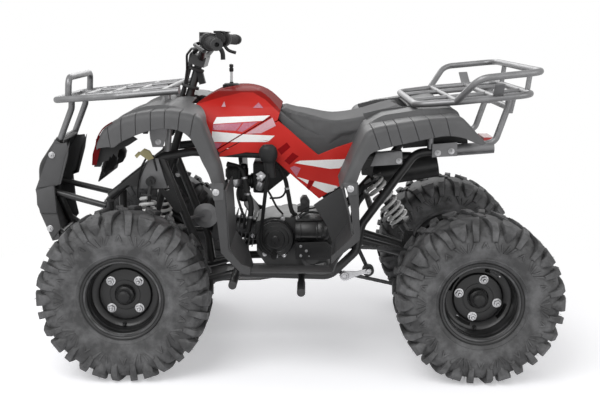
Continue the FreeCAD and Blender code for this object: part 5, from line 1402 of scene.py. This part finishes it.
trim_plastic = gloss_plastic("trim_plastic", colour(0.075, 0.001, 0.002), colour(0.11, 0.002, 0.003))
tongue_outline = [(500, 690), (508, 671), (519, 638), (522, 608), (510, 608), (500, 646), (494, 670)]
bm = bmesh.new()
for side in SIDES:
    path = [at(point.x + 0.8, side * (front_outer - 3.5), point.z - 0.6) for point in front_top_line[0:32]]
    sweep(bm, path, 1.6 * MM, 8)
    side_slab(bm, tongue_outline, front_outer - 9.0, front_outer - 5.5, side)
finish_piece("fender_piping", bm, trim_plastic)

flap_outline = [(512, 676), (516, 640), (520, 601), (503, 601), (497, 614), (480, 619), (477, 630),
                (472, 626), (467, 637), (457, 627), (452, 647), (424, 660), (400, 676), (425, 694),
                (460, 690)]
bm = bmesh.new()
pair_slab(bm, flap_outline, front_outer - 22.0, front_outer - 25.0)
finish_piece("splash_flaps", bm, black_plastic)

bm = bmesh.new()
pair_slab(bm, [(404, 690), (351, 690), (354, 657), (365, 628), (395, 628), (401, 653)], 176.0, 172.5)
bevelled(bm, 0.8)
tongue_bolts = bmesh.new()
for side in SIDES:
    bolt(tongue_bolts, at(378, side * 176.2, 643), LEFT * side, 12.0, 5.5, 1.5, 0.0, 3.2)
finish_piece("fender_tongues", bm, rack_paint)
finish_piece("tongue_bolts", tongue_bolts, bright_steel)

# %% [markdown]
# The parting line between the tank cover and the side panel is a fine dark gap from the seat's nose down
# to the front edge. The same kind of film draws it.

# %% Parting line
def line_film(name, points, width, material, proud=0.9):
    """A narrow film along points of the side view."""
    bm = bmesh.new()
    for (x0, z0), (x1, z1) in zip(points, points[1:]):
        along = Vector((x1 - x0, z1 - z0)).normalized()
        out = Vector((-along.y, along.x)) * width / 2
        outline = [(x0 + out.x, z0 + out.y), (x1 + out.x, z1 + out.y), (x1 - out.x, z1 - out.y),
                   (x0 - out.x, z0 - out.y)]
        for side in SIDES:
            film(bm, outline, side, proud, 12.0)
    return finish_piece(name, bm, material, sharp=50.0)


line_film("parting_line", [(52, 714), (128, 669), (207, 622)], 3.2, trim_plastic)

# %% [markdown]
# The engine is a horizontal single: round covers on its left side, a starter barrel lying behind them,
# and a finned cylinder pointing forward. CAD has those masses. Here they get the rings, bands, ribs,
# hoses and wires that make it read as an engine. Hoses are round sections on smooth paths that start and
# end inside the parts they join.

# %% Engine dress
def engine_face(x, z):
    """How far out the engine's left side lies at a place of the side view, in mm."""
    return landing(engine_shown, x, z, 1)[0].y / MM


bm = bmesh.new()
cover_x, cover_z = 42, 341
cover_middle = at(cover_x, 0, cover_z)
for radius, thick, rise in ((52.0, 2.4, 2.6), (40.0, 1.8, 2.2), (27.0, 1.8, 2.0)):
    level = engine_face(cover_x + radius, cover_z)
    lathe(bm, [(radius - thick, level - 2.0), (radius + thick, level - 2.0),
               (radius + thick * 0.6, level + rise * 0.8), (radius, level + rise),
               (radius - thick * 0.6, level + rise * 0.8)], cover_middle, LEFT, 64)
level = engine_face(cover_x, cover_z)
lathe(bm, [(0, level - 2), (12, level - 2), (12, level + 3), (9, level + 5), (0, level + 5.5)],
      cover_middle, LEFT, 32)
for x in (-34.0, -84.0, -98.0):
    radius = 35.5 if x > -90 else 33.5
    lathe(bm, [(28.0, -2.6), (radius, -2.6), (radius + 0.8, 0), (radius, 2.6), (28.0, 2.6)],
          at(x, 94, 362), AHEAD, 48)
slab(bm, places(((-20, 70, 397), (-98, 70, 401), (-98, 116, 399), (-20, 116, 396))), UP * 6.0 * MM)
finish_piece("engine_ribs", bm, frame_paint, sharp=30.0)

bm = bmesh.new()
hoses = [
    (8.5, [(190, 52, 560), (150, 60, 548), (137, 62, 520), (129, 62, 479), (118, 64, 440), (120, 62, 400),
           (129, 52, 350)]),
    (6.5, [(60, 40, 600), (26, 58, 545), (12, 60, 511), (4, 60, 471), (-6, 58, 419), (-20, 52, 400)]),
    (3.0, [(9, 60, 491), (16, 66, 470), (30, 60, 458), (60, 40, 452)]),
    (3.2, [(96, 30, 560), (92, 50, 520), (60, 62, 470), (40, 60, 430), (20, 56, 405)]),
    (4.0, [(150, 20, 500), (160, 50, 470), (150, 66, 430), (138, 70, 396), (140, 40, 360)]),
    (3.2, [(230, 30, 420), (216, 56, 396), (196, 58, 370), (180, 50, 350)]),
    (3.6, [(-30, 96, 404), (-60, 88, 418), (-96, 70, 414), (-128, 60, 440)]),
    (2.6, [(-24, 92, 404), (-50, 80, 424), (-90, 62, 432), (-130, 50, 470)]),
    (3.0, [(420, 150, 590), (436, 148, 560), (446, 146, 520), (452, 140, 470)]),
    (3.0, [(400, 146, 600), (392, 140, 560), (384, 120, 520)]),
]
for radius, points in hoses:
    sweep(bm, smooth_path(places(points), 8), radius * MM, 12)
finish_piece("hoses_and_wires", bm, grip_rubber)

# %% Carburettor, pump and clamps
bm = bmesh.new()
lathe(bm, [(0, -26), (14, -26), (21, -21), (23, -14), (23, 0), (0, 0)], at(166, 48, 517), UP, 40)
lathe(bm, [(0, 0), (9, 0), (11, 6), (11, 16), (0, 20)], at(86, 56, 518), Vector((0.2, 1, 0.1)), 6)
slab(bm, places(((102, 66, 531), (86, 66, 541), (69, 66, 526), (86, 66, 514))), LEFT * 5.0 * MM)
lathe(bm, [(0, -16), (10, -14), (14, -4), (14, 12), (8, 16), (0, 16)], at(90, 62, 495),
      Vector((-0.3, 0, 1)), 28)
for x, y, z, radius in ((137, 62, 520, 10.0), (127, 62, 470, 10.0), (120, 62, 398, 10.0),
                        (8, 60, 486, 7.8)):
    lathe(bm, [(radius - 2.5, -3), (radius, -3), (radius, 3), (radius - 2.5, 3)], at(x, y, z),
          Vector((0.1, 0, 1)), 24)
finish_piece("carburettor_fittings", bm, bright_steel, sharp=35.0)

bm = bmesh.new()
side_slab(bm, [(-60, 412), (-24, 412), (-24, 430), (-34, 434), (-32, 450), (-40, 460), (-52, 460),
               (-62, 442)], 24.0, 60.0)
lathe(bm, [(0, 0), (9, 0), (9, 4), (0, 5)], at(-44, 60, 442), LEFT, 24)
finish_piece("breather", bm, cast_metal, sharp=35.0)

bm = bmesh.new()
lathe(bm, [(0, -2), (25, -2), (27, 4), (27, 26), (24, 32), (19, 38), (0, 40)], at(166, 48, 517),
      Vector((0.1, 0, 1)), 40)
for step in range(9):
    angle = 2 * math.pi * step / 9
    spot = at(166 + 27 * math.cos(angle), 48 + 27 * math.sin(angle), 520)
    slab(bm, [spot + Vector(p) * MM for p in ((-2.5, -2.5, 0), (2.5, -2.5, 0), (2.5, 2.5, 0),
                                              (-2.5, 2.5, 0))], UP * 24.0 * MM)
finish_piece("carburettor_cap", bm, black_plastic, sharp=35.0)

# %% [markdown]
# The gear lever's knob is a heavy egg-shaped grip, wider than its rod. It is turned from one profile and
# flattened across the machine, and it leans back with the rod.

# %% Lever knob
bm = bmesh.new()
profile = [(0, -8), (10, -8), (11, 4), (12, 20), (15, 33), (22, 44), (26, 56), (26.5, 66), (24, 78),
           (16, 87), (0, 91)]
dense = smooth_path([Vector((r, 0, h)) for r, h in profile[1:-1]], 4)
lathe(bm, [(0, -8)] + [(p.x, p.z) for p in dense] + [(0, 89)], at(0, 0, 0), Vector((0.16, 0, 1)), 40)
for vert in bm.verts:
    vert.co.y *= 0.62
    vert.co += at(48, 202, 551)
finish_piece("lever_knob", bm, black_plastic, sharp=50.0)

# %% [markdown]
# The grips are rubber with raised rings and a diamond pattern between them. The rings are turned, and
# each diamond stud is a small pyramid set on two opposite spirals. The left pod has a red button.

# %% Grips and buttons
def grip_frame(side):
    """The outer end of a grip and its direction towards the middle."""
    points = [vert.co for vert in nodes["grips"].data.vertices if vert.co.y * side > 0]
    outer = max(points, key=lambda p: p.y * side)
    outer_y = outer.y
    tip = [p for p in points if abs(p.y - outer_y) < 0.0005 or (p - outer).length < 0.033]
    end = sum(tip, Vector()) / len(tip)
    rest = [p for p in points if abs(p.y - outer_y) > 0.08]
    middle = sum(rest, Vector()) / len(rest)
    return end, (middle - end).normalized()


rings = bmesh.new()
for side in SIDES:
    end, inward = grip_frame(side)
    across, third = frame_about(inward)
    for along in (9.0, 16.0, 23.0, 92.0, 99.0):
        lathe(rings, [(14.5, -1.6), (16.9, -1.4), (17.5, 0), (16.9, 1.4), (14.5, 1.6)],
              end + inward * along * MM, inward, 36)
    for row in range(9):
        for step in range(14):
            angle = 2 * math.pi * (step + 0.5 * (row % 2)) / 14
            out = frame_turn(across, third, angle)
            around = inward.cross(out)
            spot = end + inward * (31.0 + 6.6 * row) * MM + out * 15.6 * MM
            base = [rings.verts.new(spot + offset) for offset in (inward * 3.0 * MM, around * 3.0 * MM,
                                                                 inward * -3.0 * MM, around * -3.0 * MM)]
            top = rings.verts.new(spot + out * 1.7 * MM)
            low = rings.verts.new(spot - out * 1.0 * MM)
            for index in range(4):
                rings.faces.new((base[index - 1], base[index], top))
                rings.faces.new((base[index], base[index - 1], low))
finish_piece("grip_pattern", rings, grip_rubber, sharp=20.0, body="steering")

bm = bmesh.new()
end, inward = grip_frame(1)
pod = end + inward * 134.0 * MM
lathe(bm, [(0, 17), (6.5, 17), (6.5, 24), (5.4, 26), (0, 26.5)], pod, Vector((-0.45, 0.1, 1)), 24)
finish_piece("stop_button", bm, trim_plastic, body="steering")

# %% [markdown]
# The bumper cover is a folded channel with cheeks on both sides: an upper leaf, a raised block at the
# knee and a leaf running down to the lower tube. A narrow slot parts the rear lip from the upper leaf.

# %% Bumper cheeks
cheek = reach_of("bumper_cover")
upper_leaf = [(697, 628), (729, 560), (756, 496), (716, 502), (690, 506), (668, 588), (656, 612),
              (660, 632)]
rear_lip = [(652, 634), (660, 588), (684, 508), (707, 500), (702, 512), (694, 516), (672, 590), (660, 616)]
knee_block = [(757, 490), (757, 446), (746, 421), (698, 420), (703, 504), (716, 502)]
lower_leaf = [(752, 424), (718, 338), (690, 372), (700, 424)]
bm = bmesh.new()
for outline, depth in ((upper_leaf, 3.4), (rear_lip, 2.0), (knee_block, 9.0), (lower_leaf, 3.4)):
    part = bmesh.new()
    pair_slab(part, outline, cheek - 3.0, cheek + depth)
    rounded_solid(part, min(2.6, depth * 0.4))
    part_mesh = bpy.data.meshes.new("part")
    part.to_mesh(part_mesh)
    bm.from_mesh(part_mesh)
    part.free()
finish_piece("bumper_cheeks", bm, dark_plastic, sharp=40.0)
bm = bmesh.new()
for side in SIDES:
    for x, z, rise in ((706, 596, 3.4), (722, 372, 3.4)):
        bolt(bm, at(x, side * (cheek + rise), z), LEFT * side, 14.0, 5.0, 1.5, 10.0, 3.6)
finish_piece("bumper_bolts", bm, bright_steel)

# %% [markdown]
# The footwells are the CAD shells with the free lower tips of their end walls trimmed off level with the
# deck, and every edge rounded.

# %% Footwells
deck_level, tips_from = 0.3145, 0.40  # height of the deck, and how far out the free tips start, in metres
bm = bmesh.new()
bm.from_mesh(nodes["footwells"].data)
bm.transform(nodes["footwells"].matrix_world)
for vert in bm.verts:
    if abs(vert.co.y) > tips_from:
        vert.co.z = max(vert.co.z, deck_level)
shells = finish_piece("footwell_shells", bm, footwell_plastic, ["footwells"], 30.0)
rounded = shells.modifiers.new("rounded", "BEVEL")
rounded.width = 1.2 * MM
rounded.segments = 2
rounded.angle_limit = math.radians(30)
rounded.harden_normals = True

# %% Footwell plates
shield = reach_of("footwells")
plates = bmesh.new()
shield_bolts = bmesh.new()
for side in SIDES:
    for outline, (x, z) in (([(203, 565), (167, 565), (168, 521), (194, 519)], (188, 541)),
                            ([(-150, 566), (-187, 566), (-187, 536), (-165, 533)], (-169, 551))):
        side_slab(plates, outline, shield - 1.0, shield + 1.4, side)
        bolt(shield_bolts, at(x, side * (shield + 1.2), z), LEFT * side, 13.0, 5.0, 1.4, 5.0, 3.4)
bevelled(plates, 0.5)
finish_piece("footwell_plates", plates, dark_plastic)
finish_piece("footwell_bolts", shield_bolts, bright_steel)

# %% [markdown]
# The seat base closes the gap between the cushion and the side panel: a skirt in the same vinyl that
# follows the lower edge of the seat, from the nose down to the middle and back up to the rear fender.

# %% Seat skirt
skirt_y = reach_of("seat") - 9.0
low_edge = smooth_path([Vector((x, 0, z)) for x, z in ((37, 719), (21, 694), (-4, 661), (-34, 626),
                                                       (-60, 604), (-88, 597), (-136, 611), (-176, 626),
                                                       (-214, 641))], 4)
high_edge = [Vector((x, 0, z)) for x,
             z in ((-214, 690), (-140, 668), (-88, 660), (-40, 680), (8, 712), (30, 730))]
bm = bmesh.new()
pair_slab(bm, [(p.x, p.z) for p in low_edge + high_edge], 55.0, skirt_y)
rounded_solid(bm, 5.0)
finish_piece("seat_skirt", bm, seat_vinyl, sharp=40.0)

# %% [markdown]
# The intake, carburettor and air box are turned and swept again from the CAD places, with a tapered,
# ribbed box, a flanged body and rounded rubber, in place of the plain solids.

# %% Carburettor body and air box
bm = bmesh.new()
sweep(bm, smooth_path(places(((207, 0, 408), (207, 0, 462), (196, 0, 488), (173, 0, 500), (120, 0, 500))),
                      8), 13.5 * MM, 24)
lathe(bm, [(0, 0), (22, 0), (24, 3), (24, 8), (19, 11), (19, 48), (23, 50), (23, 58), (0, 60)],
      at(112, 0, 500), AHEAD, 36)
lathe(bm, [(0, 0), (12, 0), (17, 5), (18.5, 12), (18.5, 34), (20, 36), (20, 42), (18, 44), (18, 60),
           (0, 60)], at(143, 0, 436), UP, 36)
lathe(bm, [(0, 0), (14.5, 0), (14.5, 34), (13, 36), (13, 44), (8, 49), (0, 50)], at(143, 0, 505), UP, 32)
finish_piece("carburettor_body", bm, cast_metal, ["carburettor"], 35.0)
bm = bmesh.new()
side_slab(bm, [(-7, 564), (111, 564), (111, 472), (72, 470), (40, 496), (4, 524), (-7, 536)], -58.0, 58.0)
rounded_solid(bm, 5.0)
for rise in (552.0, 540.0, 528.0):
    slab(bm, places(((10 + 560 - rise, 57, rise), (104, 57, rise), (104, 57, rise + 4),
                     (10 + 560 - rise, 57, rise + 4))), LEFT * 3.0 * MM)
finish_piece("air_box", bm, black_plastic, sharp=35.0)

# %% [markdown]
# The starter motor has a drawn sleeve over its body, and a flat cover hides the small sprocket.

# %% Starter sleeve and sprocket cover
bm = bmesh.new()
lathe(bm, [(0, 0), (35.0, 0), (36.0, 1.5), (36.0, 64), (35.2, 66), (35.2, 70), (36.0, 72), (35.6, 84),
           (31, 98), (20, 107), (0, 109)], at(-18, 92, 364.5), -AHEAD, 64)
for way in (0.4, 2.0):
    spot = at(-50, 92 + 36 * math.sin(way), 364.5 + 36 * math.cos(way))
    sweep(bm, [spot - AHEAD * 0.045, spot + AHEAD * 0.028], 3.0 * MM, 10)
finish_piece("starter_sleeve", bm, frame_paint, sharp=35.0)
bm = bmesh.new()
side_slab(bm, [(-18, 333), (-112, 337), (-128, 318), (-128, 286), (-112, 280), (-19, 282)], 128.5, 133.0)
side_slab(bm, [(-18, 333), (-26, 333), (-27, 282), (-19, 282)], 91.0, 130.0)
side_slab(bm, [(-60, 328), (-108, 330), (-118, 314), (-118, 292), (-62, 290)], 131.0, 135.5)
rounded_solid(bm, 1.4)
finish_piece("sprocket_cover", bm, black_plastic, sharp=40.0)
bm = bmesh.new()
for x, z in ((-35, 322), (-35, 293), (-52, 308)):
    bolt(bm, at(x, 132.8, z), LEFT, 6.5, 3.0, 0.6, 20.0, 1.8)
finish_piece("cover_screws", bm, bright_steel)

# %% [markdown]
# The drive chain is laid as real links. The loop is two arcs and two straight runs; every pitch has a
# pair of waisted side plates, in turn wide and narrow, and a roller between them.

# %% Chain links
tyre_low, tyre_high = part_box("rear_tyres")
axle_spot = (tyre_low + tyre_high) / 2
axle_spot.y = 0
small_spot = at(-69, 0, 290)
small_radius, large_radius = 31.0 * MM, 75.0 * MM
chain_pitch, chain_y = 12.7, 120.0
plate_radius, roller_radius = 4.6, 3.6
line = small_spot - axle_spot
distance = line.length
line.normalize()
lean = (large_radius - small_radius) / distance
upright = math.sqrt(1 - lean * lean)
track = []
for way in SIDES:
    normal = line * lean + Vector((-line.z, 0, line.x)) * (way * upright)
    track.append(math.atan2(normal.z, normal.x))
high_angle, low_angle = track


def arc_points(centre, radius, start, end, count=90):
    angles = [start + (end - start) * step / count for step in range(count + 1)]
    return [centre + Vector((math.cos(angle), 0, math.sin(angle))) * radius for angle in angles]


def turn_back(start, end):
    """The same end angle, reached by turning back from the start."""
    while end > start:
        end -= 2 * math.pi
    return end


small_arc = arc_points(small_spot, small_radius, high_angle, turn_back(high_angle, low_angle))
large_arc = arc_points(axle_spot, large_radius, low_angle, turn_back(low_angle, high_angle))
loop = small_arc + large_arc + [small_arc[0]]
lengths = [0.0]
for a, b in zip(loop, loop[1:]):
    lengths.append(lengths[-1] + (b - a).length)
link_count = 2 * round(lengths[-1] / (chain_pitch * MM) / 2)


def on_loop(distance_along):
    distance_along %= lengths[-1]
    for index in range(len(lengths) - 1):
        if lengths[index + 1] >= distance_along:
            share = (distance_along - lengths[index]) / max(lengths[index + 1] - lengths[index], 1e-9)
            return loop[index].lerp(loop[index + 1], share)
    return loop[-1]


pins = [on_loop(lengths[-1] * step / link_count) for step in range(link_count)]
bm = bmesh.new()
for index, pin in enumerate(pins):
    other = pins[(index + 1) % link_count]
    along = (other - pin).normalized()
    up = Vector((-along.z, 0, along.x))
    wide = 4.6 if index % 2 else 3.2
    outline = []
    for centre, back in ((other, 1), (pin, -1)):
        for step in range(5):
            angle = math.radians(-75 + 37.5 * step)
            outline.append(centre + (along * math.cos(angle) * back + up * math.sin(angle) * back)
                           * plate_radius * MM)
    for side in SIDES:
        slab(bm, [p + LEFT * (chain_y * MM + side * wide * MM) for p in outline], LEFT * side * 1.1 * MM)
    sweep(bm, [pin + LEFT * (chain_y - 5.4) * MM, pin + LEFT * (chain_y + 5.4) * MM], roller_radius * MM,
          10)
finish_piece("chain_links", bm, chain_steel, ["chain"], 40.0)
print("chain", link_count, "links")

# %% Chain tensioner
bm = bmesh.new()
side_slab(bm, [(-160, 245), (-151, 231), (-160, 218), (-174, 216), (-200, 228), (-222, 236), (-236, 237),
               (-248, 241), (-249, 250), (-240, 255), (-228, 252), (-204, 245), (-180, 246)], 129.0,
          134.0)
rounded_solid(bm, 1.5)
for x, z, radius in ((-167, 231, 13.5), (-239, 246, 9.0)):
    lathe(bm, [(radius - 6, 0), (radius, 0), (radius, 5), (radius - 2, 7), (radius - 4, 7),
               (radius - 5, 3), (radius - 6, 3)], at(x, 133, z), LEFT, 32)
    bolt(bm, at(x, 132.5, z), LEFT, radius * 1.1, 3.5, 0.8, 10.0, 0)
sweep(bm, [at(-167, 100, 231), at(-167, 131, 231)], 8.0 * MM, 20)
finish_piece("tensioner_arm", bm, bright_steel, sharp=35.0)

# %% [markdown]
# Light grey plates stiffen the frame behind the front shocks and under the rear fenders, and a wiring
# connector hangs near the top of the front frame. The rack's tail legs clamp over the frame's end tubes
# with a sleeve in the rack's colour.

# %% Frame plates, sleeve and connector
bm = bmesh.new()
for side in SIDES:
    level = abs(landing(chassis_shown, 405, 545, side)[0].y) / MM
    side_slab(bm, [(412, 590), (386, 590), (360, 500), (455, 499)], level + 0.5, level + 3.5, side)
    side_slab(bm, [(-251, 612), (-327, 619), (-328, 582), (-236, 576)], 197.5, 200.5, side)
    side_slab(bm, [(-251, 614), (-327, 621), (-327, 616), (-251, 609)], 168.0, 199.0, side)
rounded_solid(bm, 0.8)
for side in SIDES:
    sweep(bm, [at(-484, side * 168, 619.6), at(-594, side * 168, 627.8)], 17.2 * MM, 28)
finish_piece("frame_plates", bm, rack_paint, sharp=40.0)
bm = bmesh.new()
for side in SIDES:
    bolt(bm, at(-318, side * 200.3, 592), LEFT * side, 12.0, 5.0, 1.4, 8.0, 3.2)
    bolt(bm, at(414, side * (level + 3.3), 515), LEFT * side, 12.0, 5.0, 1.4, 8.0, 3.2)
finish_piece("plate_bolts", bm, bright_steel)

connector_shell = gloss_plastic("connector_shell", colour(0.62, 0.56, 0.30), colour(0.70, 0.64, 0.38))
bm = bmesh.new()
side_slab(bm, [(440, 607), (424, 620), (408, 613), (396, 592), (412, 586)], 143.0, 157.0)
side_slab(bm, [(452, 600), (440, 612), (434, 604), (446, 592)], 146.0, 154.0)
bevelled(bm, 1.5)
finish_piece("wiring_connector", bm, connector_shell, sharp=40.0)

# %% [markdown]
# On the bars: round switch pods beside the grips, the brake lever hanging behind the left grip, the thumb
# lever on the right, and a bundle of hoses running down the front of the column through the fender's
# opening. They all ride the steering.

# %% Bar controls
bm = bmesh.new()
for side in SIDES:
    end, inward = grip_frame(side)
    lathe(bm, [(16.5, 119), (22, 119), (25, 122), (25.8, 127), (25.8, 134), (24.6, 135), (24.6, 137),
               (25.8, 138), (25.8, 148), (23, 153), (16.5, 153)], end, inward, 44)
    across, third = frame_about(inward)
    spot = end + inward * 128 * MM + UP * 20.5 * MM
    slab(bm, [spot + AHEAD * dx * MM + inward * dy * MM for dx, dy in ((-20, -6), (14, -6), (14, 24),
                                                                       (-20, 24))], UP * 3 * MM)
sweep(bm, smooth_path(places(((226, 222, 926), (206, 216, 918), (190, 212, 910), (184, 210, 898),
                              (183, 210, 880))), 5), 6.6 * MM, 14)
sweep(bm, smooth_path(places(((222, -214, 922), (210, -206, 902), (198, -204, 892), (178, -202, 886))),
                      5), 5.4 * MM, 14)
side_slab(bm, [(283, 838), (264, 833), (256, 801), (274, 797)], -13.0, 13.0)
finish_piece("bar_controls", bm, black_plastic, sharp=35.0, body="steering")

bm = bmesh.new()
for shift, lead in ((-9.0, 0.0), (-3.0, 3.0), (4.0, 2.0), (10.0, -1.0)):
    foot = pivot + column_axis * -0.02 + Vector((0.021, 0, 0.0065)) + LEFT * shift * MM
    foot += AHEAD * lead * MM
    path = [at(262, shift * 9, 912), at(283, shift * 5, 900), foot + column_axis * 0.02,
            foot - column_axis * 0.06, foot - column_axis * 0.12, foot - column_axis * 0.20]
    sweep(bm, smooth_path(path, 6), 4.4 * MM, 12)
for drop in (-0.03, -0.085):
    ring_at = pivot + column_axis * drop
    lathe(bm, [(19, -4), (27, -4), (28, 0), (27, 4), (19, 4)], ring_at + Vector((0.006, 0, 0.002)),
          column_axis, 36)
finish_piece("column_hoses", bm, grip_rubber, sharp=35.0, body="steering")

# %% [markdown]
# The headlamps are turned again as a black bowl behind a clear dome. The rear edge of the footwell
# carries a flat flange, and a black liner closes the rear arch.

# %% Lamps, housings and liners
lamp_axis = Vector((0.93, 0, 0.36)).normalized()
bowls = bmesh.new()
domes = bmesh.new()
for side in SIDES:
    spot = at(549, side * 72, 575)
    lathe(bowls, [(0, -29), (20, -25), (40.5, -4), (40.5, 4), (38, 4), (37, -3), (19, -21), (0, -25)],
          spot, lamp_axis, 40)
    lathe(domes, [(0, 9), (24, 8), (37.5, 2), (37.5, 5), (24, 11.5), (0, 13.5)], spot, lamp_axis, 40)
finish_piece("lamp_bowls", bowls, black_plastic, ["headlamps"], 35.0)
finish_piece("lamp_domes", domes, clear_lens, sharp=35.0)

bm = bmesh.new()
pair_slab(bm, [(-333, 690), (-440, 700), (-520, 662), (-522, 636), (-483, 637), (-417, 629), (-333, 622)],
          150.0, 153.0)
finish_piece("arch_liners", bm, black_plastic)
bm = bmesh.new()
pair_slab(bm, [(-150, 566), (-189, 568), (-196, 423), (-195, 411), (-169, 389), (-137, 363), (-119, 345),
               (-119, 366), (-141, 386), (-169, 414), (-179, 429), (-168, 511), (-158, 550)],
          shield - 4.0, shield - 0.4)
rounded_solid(bm, 0.8)
finish_piece("footwell_flanges", bm, footwell_plastic, sharp=40.0)

# %% Cap teeth and vent tube
cap_low, cap_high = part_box("fuel_cap")
cap_x = (cap_low.x + cap_high.x) / 2
cap_radius = (cap_high.x - cap_low.x) / 2
teeth, teeth_foot = 20, 0.784
bm = bmesh.new()
for step in range(teeth):
    angle = 2 * math.pi * step / teeth
    out = Vector((math.cos(angle), math.sin(angle), 0))
    around = Vector((-out.y, out.x, 0))
    spot = Vector((cap_x, 0, teeth_foot)) + out * (cap_radius - 3 * MM)
    slab(bm, [spot + out * a * MM + around * b * MM for a, b in ((-2, -2.6), (4, -2.0), (4, 2.0),
                                                                 (-2, 2.6))], UP * 13 * MM)
vent = Vector((cap_x, 0, 0))
lathe(bm, [(0, 836), (5.6, 836), (6.6, 839), (6.6, 846), (5.2, 847.5), (5.2, 849.5), (6.6, 851),
           (6.0, 858), (0, 860)], vent, UP, 24)
lathe(bm, [(0, 793), (7, 793), (6, 803), (4, 806), (0, 806)], vent, UP, 24)
finish_piece("cap_teeth", bm, black_plastic, sharp=35.0)
bm = bmesh.new()
sweep(bm, [vent + UP * 0.803, vent + UP * 0.839], 4.2 * MM, 16)
finish_piece("vent_tube", bm, clear_lens)

# %% [markdown]
# The stage is a wide pale floor that fades into white: the camera sees plain white around the
# machine, while its tyres still throw a soft shadow. The white comes from the floor's own colour on
# camera rays, so no extra light falls on the machine.

# %% Floor and sky
def pale_floor():
    f = Finish("pale_floor")
    seen = f.node("ShaderNodeLightPath", output="Is Camera Ray")
    mirrored = f.node("ShaderNodeLightPath", output="Is Glossy Ray")
    through = f.node("ShaderNodeLightPath", output="Is Transmission Ray")
    path = (seen + mirrored + through).math("MINIMUM", 1.0)
    matt = f.node("ShaderNodeBsdfDiffuse", {"Color": grey(0.86)})
    shine = f.node("ShaderNodeEmission", {"Color": grey(1.0), "Strength": 0.36})
    near = f.node("ShaderNodeAddShader", {0: matt, 1: shine})
    white = f.node("ShaderNodeEmission", {"Color": colour(1.0, 1.0, 1.0), "Strength": 1.0})
    across, along = f.axis(0), f.axis(1)
    reach = (across * across + along * along).math("SQRT")
    near_end, far_start = 0.75, 1.6  # metres from the middle, where the shaded floor fades to white
    far = f.ramp(reach, near_end, far_start)
    shown = f.node("ShaderNodeMixShader", {0: far, 1: near, 2: white})
    f.node_output(f.node("ShaderNodeMixShader", {0: path, 1: matt, 2: shown}))
    return f.material


floor_mesh = bpy.data.meshes.new("floor")
floor_mesh.from_pydata([(-14, -14, 0), (14, -14, 0), (14, 14, 0), (-14, 14, 0)], [], [(0, 1, 2, 3)])
floor = bpy.data.objects.new("floor", floor_mesh)
bpy.context.scene.collection.objects.link(floor)
floor_mesh.materials.append(pale_floor())
floor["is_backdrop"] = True

world = bpy.data.worlds.new("studio")
bpy.context.scene.world = world
world.use_nodes = True
sky = world.node_tree
sky.nodes.clear()
sky_path, sky_seen, sky_light, sky_sum, sky_both, sky_mix, sky_out = (
    sky.nodes.new("ShaderNode" + kind)
    for kind in ("LightPath", "Background", "Background", "Math", "Math", "MixShader", "OutputWorld"))
for shader in (sky_seen, sky_light):
    shader.inputs["Color"].default_value = (1, 1, 1, 1)
room_light = 0.42
sky_light.inputs["Strength"].default_value = room_light
sky_both.use_clamp = True
for output, socket in ((sky_path.outputs["Is Camera Ray"], sky_sum.inputs[0]),
                       (sky_path.outputs["Is Glossy Ray"], sky_sum.inputs[1]),
                       (sky_sum.outputs[0], sky_both.inputs[0]),
                       (sky_path.outputs["Is Transmission Ray"], sky_both.inputs[1]),
                       (sky_both.outputs[0], sky_mix.inputs[0]), (sky_light.outputs[0], sky_mix.inputs[1]),
                       (sky_seen.outputs[0], sky_mix.inputs[2]), (sky_mix.outputs[0], sky_out.inputs[0])):
    sky.links.new(output, socket)

# %% [markdown]
# Studio light is one broad lamp high on the camera's side, a weaker one on the far side for the rims of
# the tubes, and the even light of the room. Broad lamps give the soft edges of a product photograph.

# %% Lamps
def lamp(name, place, aim, size, power):
    data = bpy.data.lights.new(name, "AREA")
    data.shape = "SQUARE"
    data.size = size
    data.energy = power
    made = bpy.data.objects.new(name, data)
    made.location = place
    made.rotation_euler = (Vector(aim) - Vector(place)).to_track_quat("-Z", "Y").to_euler()
    bpy.context.scene.collection.objects.link(made)
    return made


lamp("key", (1.4, 2.6, 3.0), (0, 0, 0.4), 2.6, 95)
lamp("fill", (-2.6, 2.4, 1.6), (0, 0, 0.4), 2.2, 28)
lamp("rim", (0.4, -2.8, 2.6), (0, 0, 0.5), 2.4, 45)

# %% [markdown]
# The photograph's camera was worked out from the wheels, the racks and the bars: it stands 2.9 m to the
# machine's left, at bar height, and looks down by about eleven degrees.

# %% Camera
camera_data = bpy.data.cameras.new("camera")
focal_pixels, picture_width = 934.16, 600.0
tilt_down, heading = 11.19, 0.0085  # degrees, radians
camera_data.sensor_width = 36.0
camera_data.lens = focal_pixels * camera_data.sensor_width / picture_width
camera = bpy.data.objects.new("camera", camera_data)
camera.location = (-0.0559, 2.8647, 0.9849)
camera.rotation_euler = (math.radians(90.0 - tilt_down), 0.0, math.pi + heading)
bpy.context.scene.collection.objects.link(camera)
bpy.context.scene.camera = camera
bpy.context.scene.view_settings.view_transform = "Standard"

# %% Measure and finish
low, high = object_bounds()
print("visual box in metres:", [round(v, 4) for v in low], [round(v, 4) for v in high])
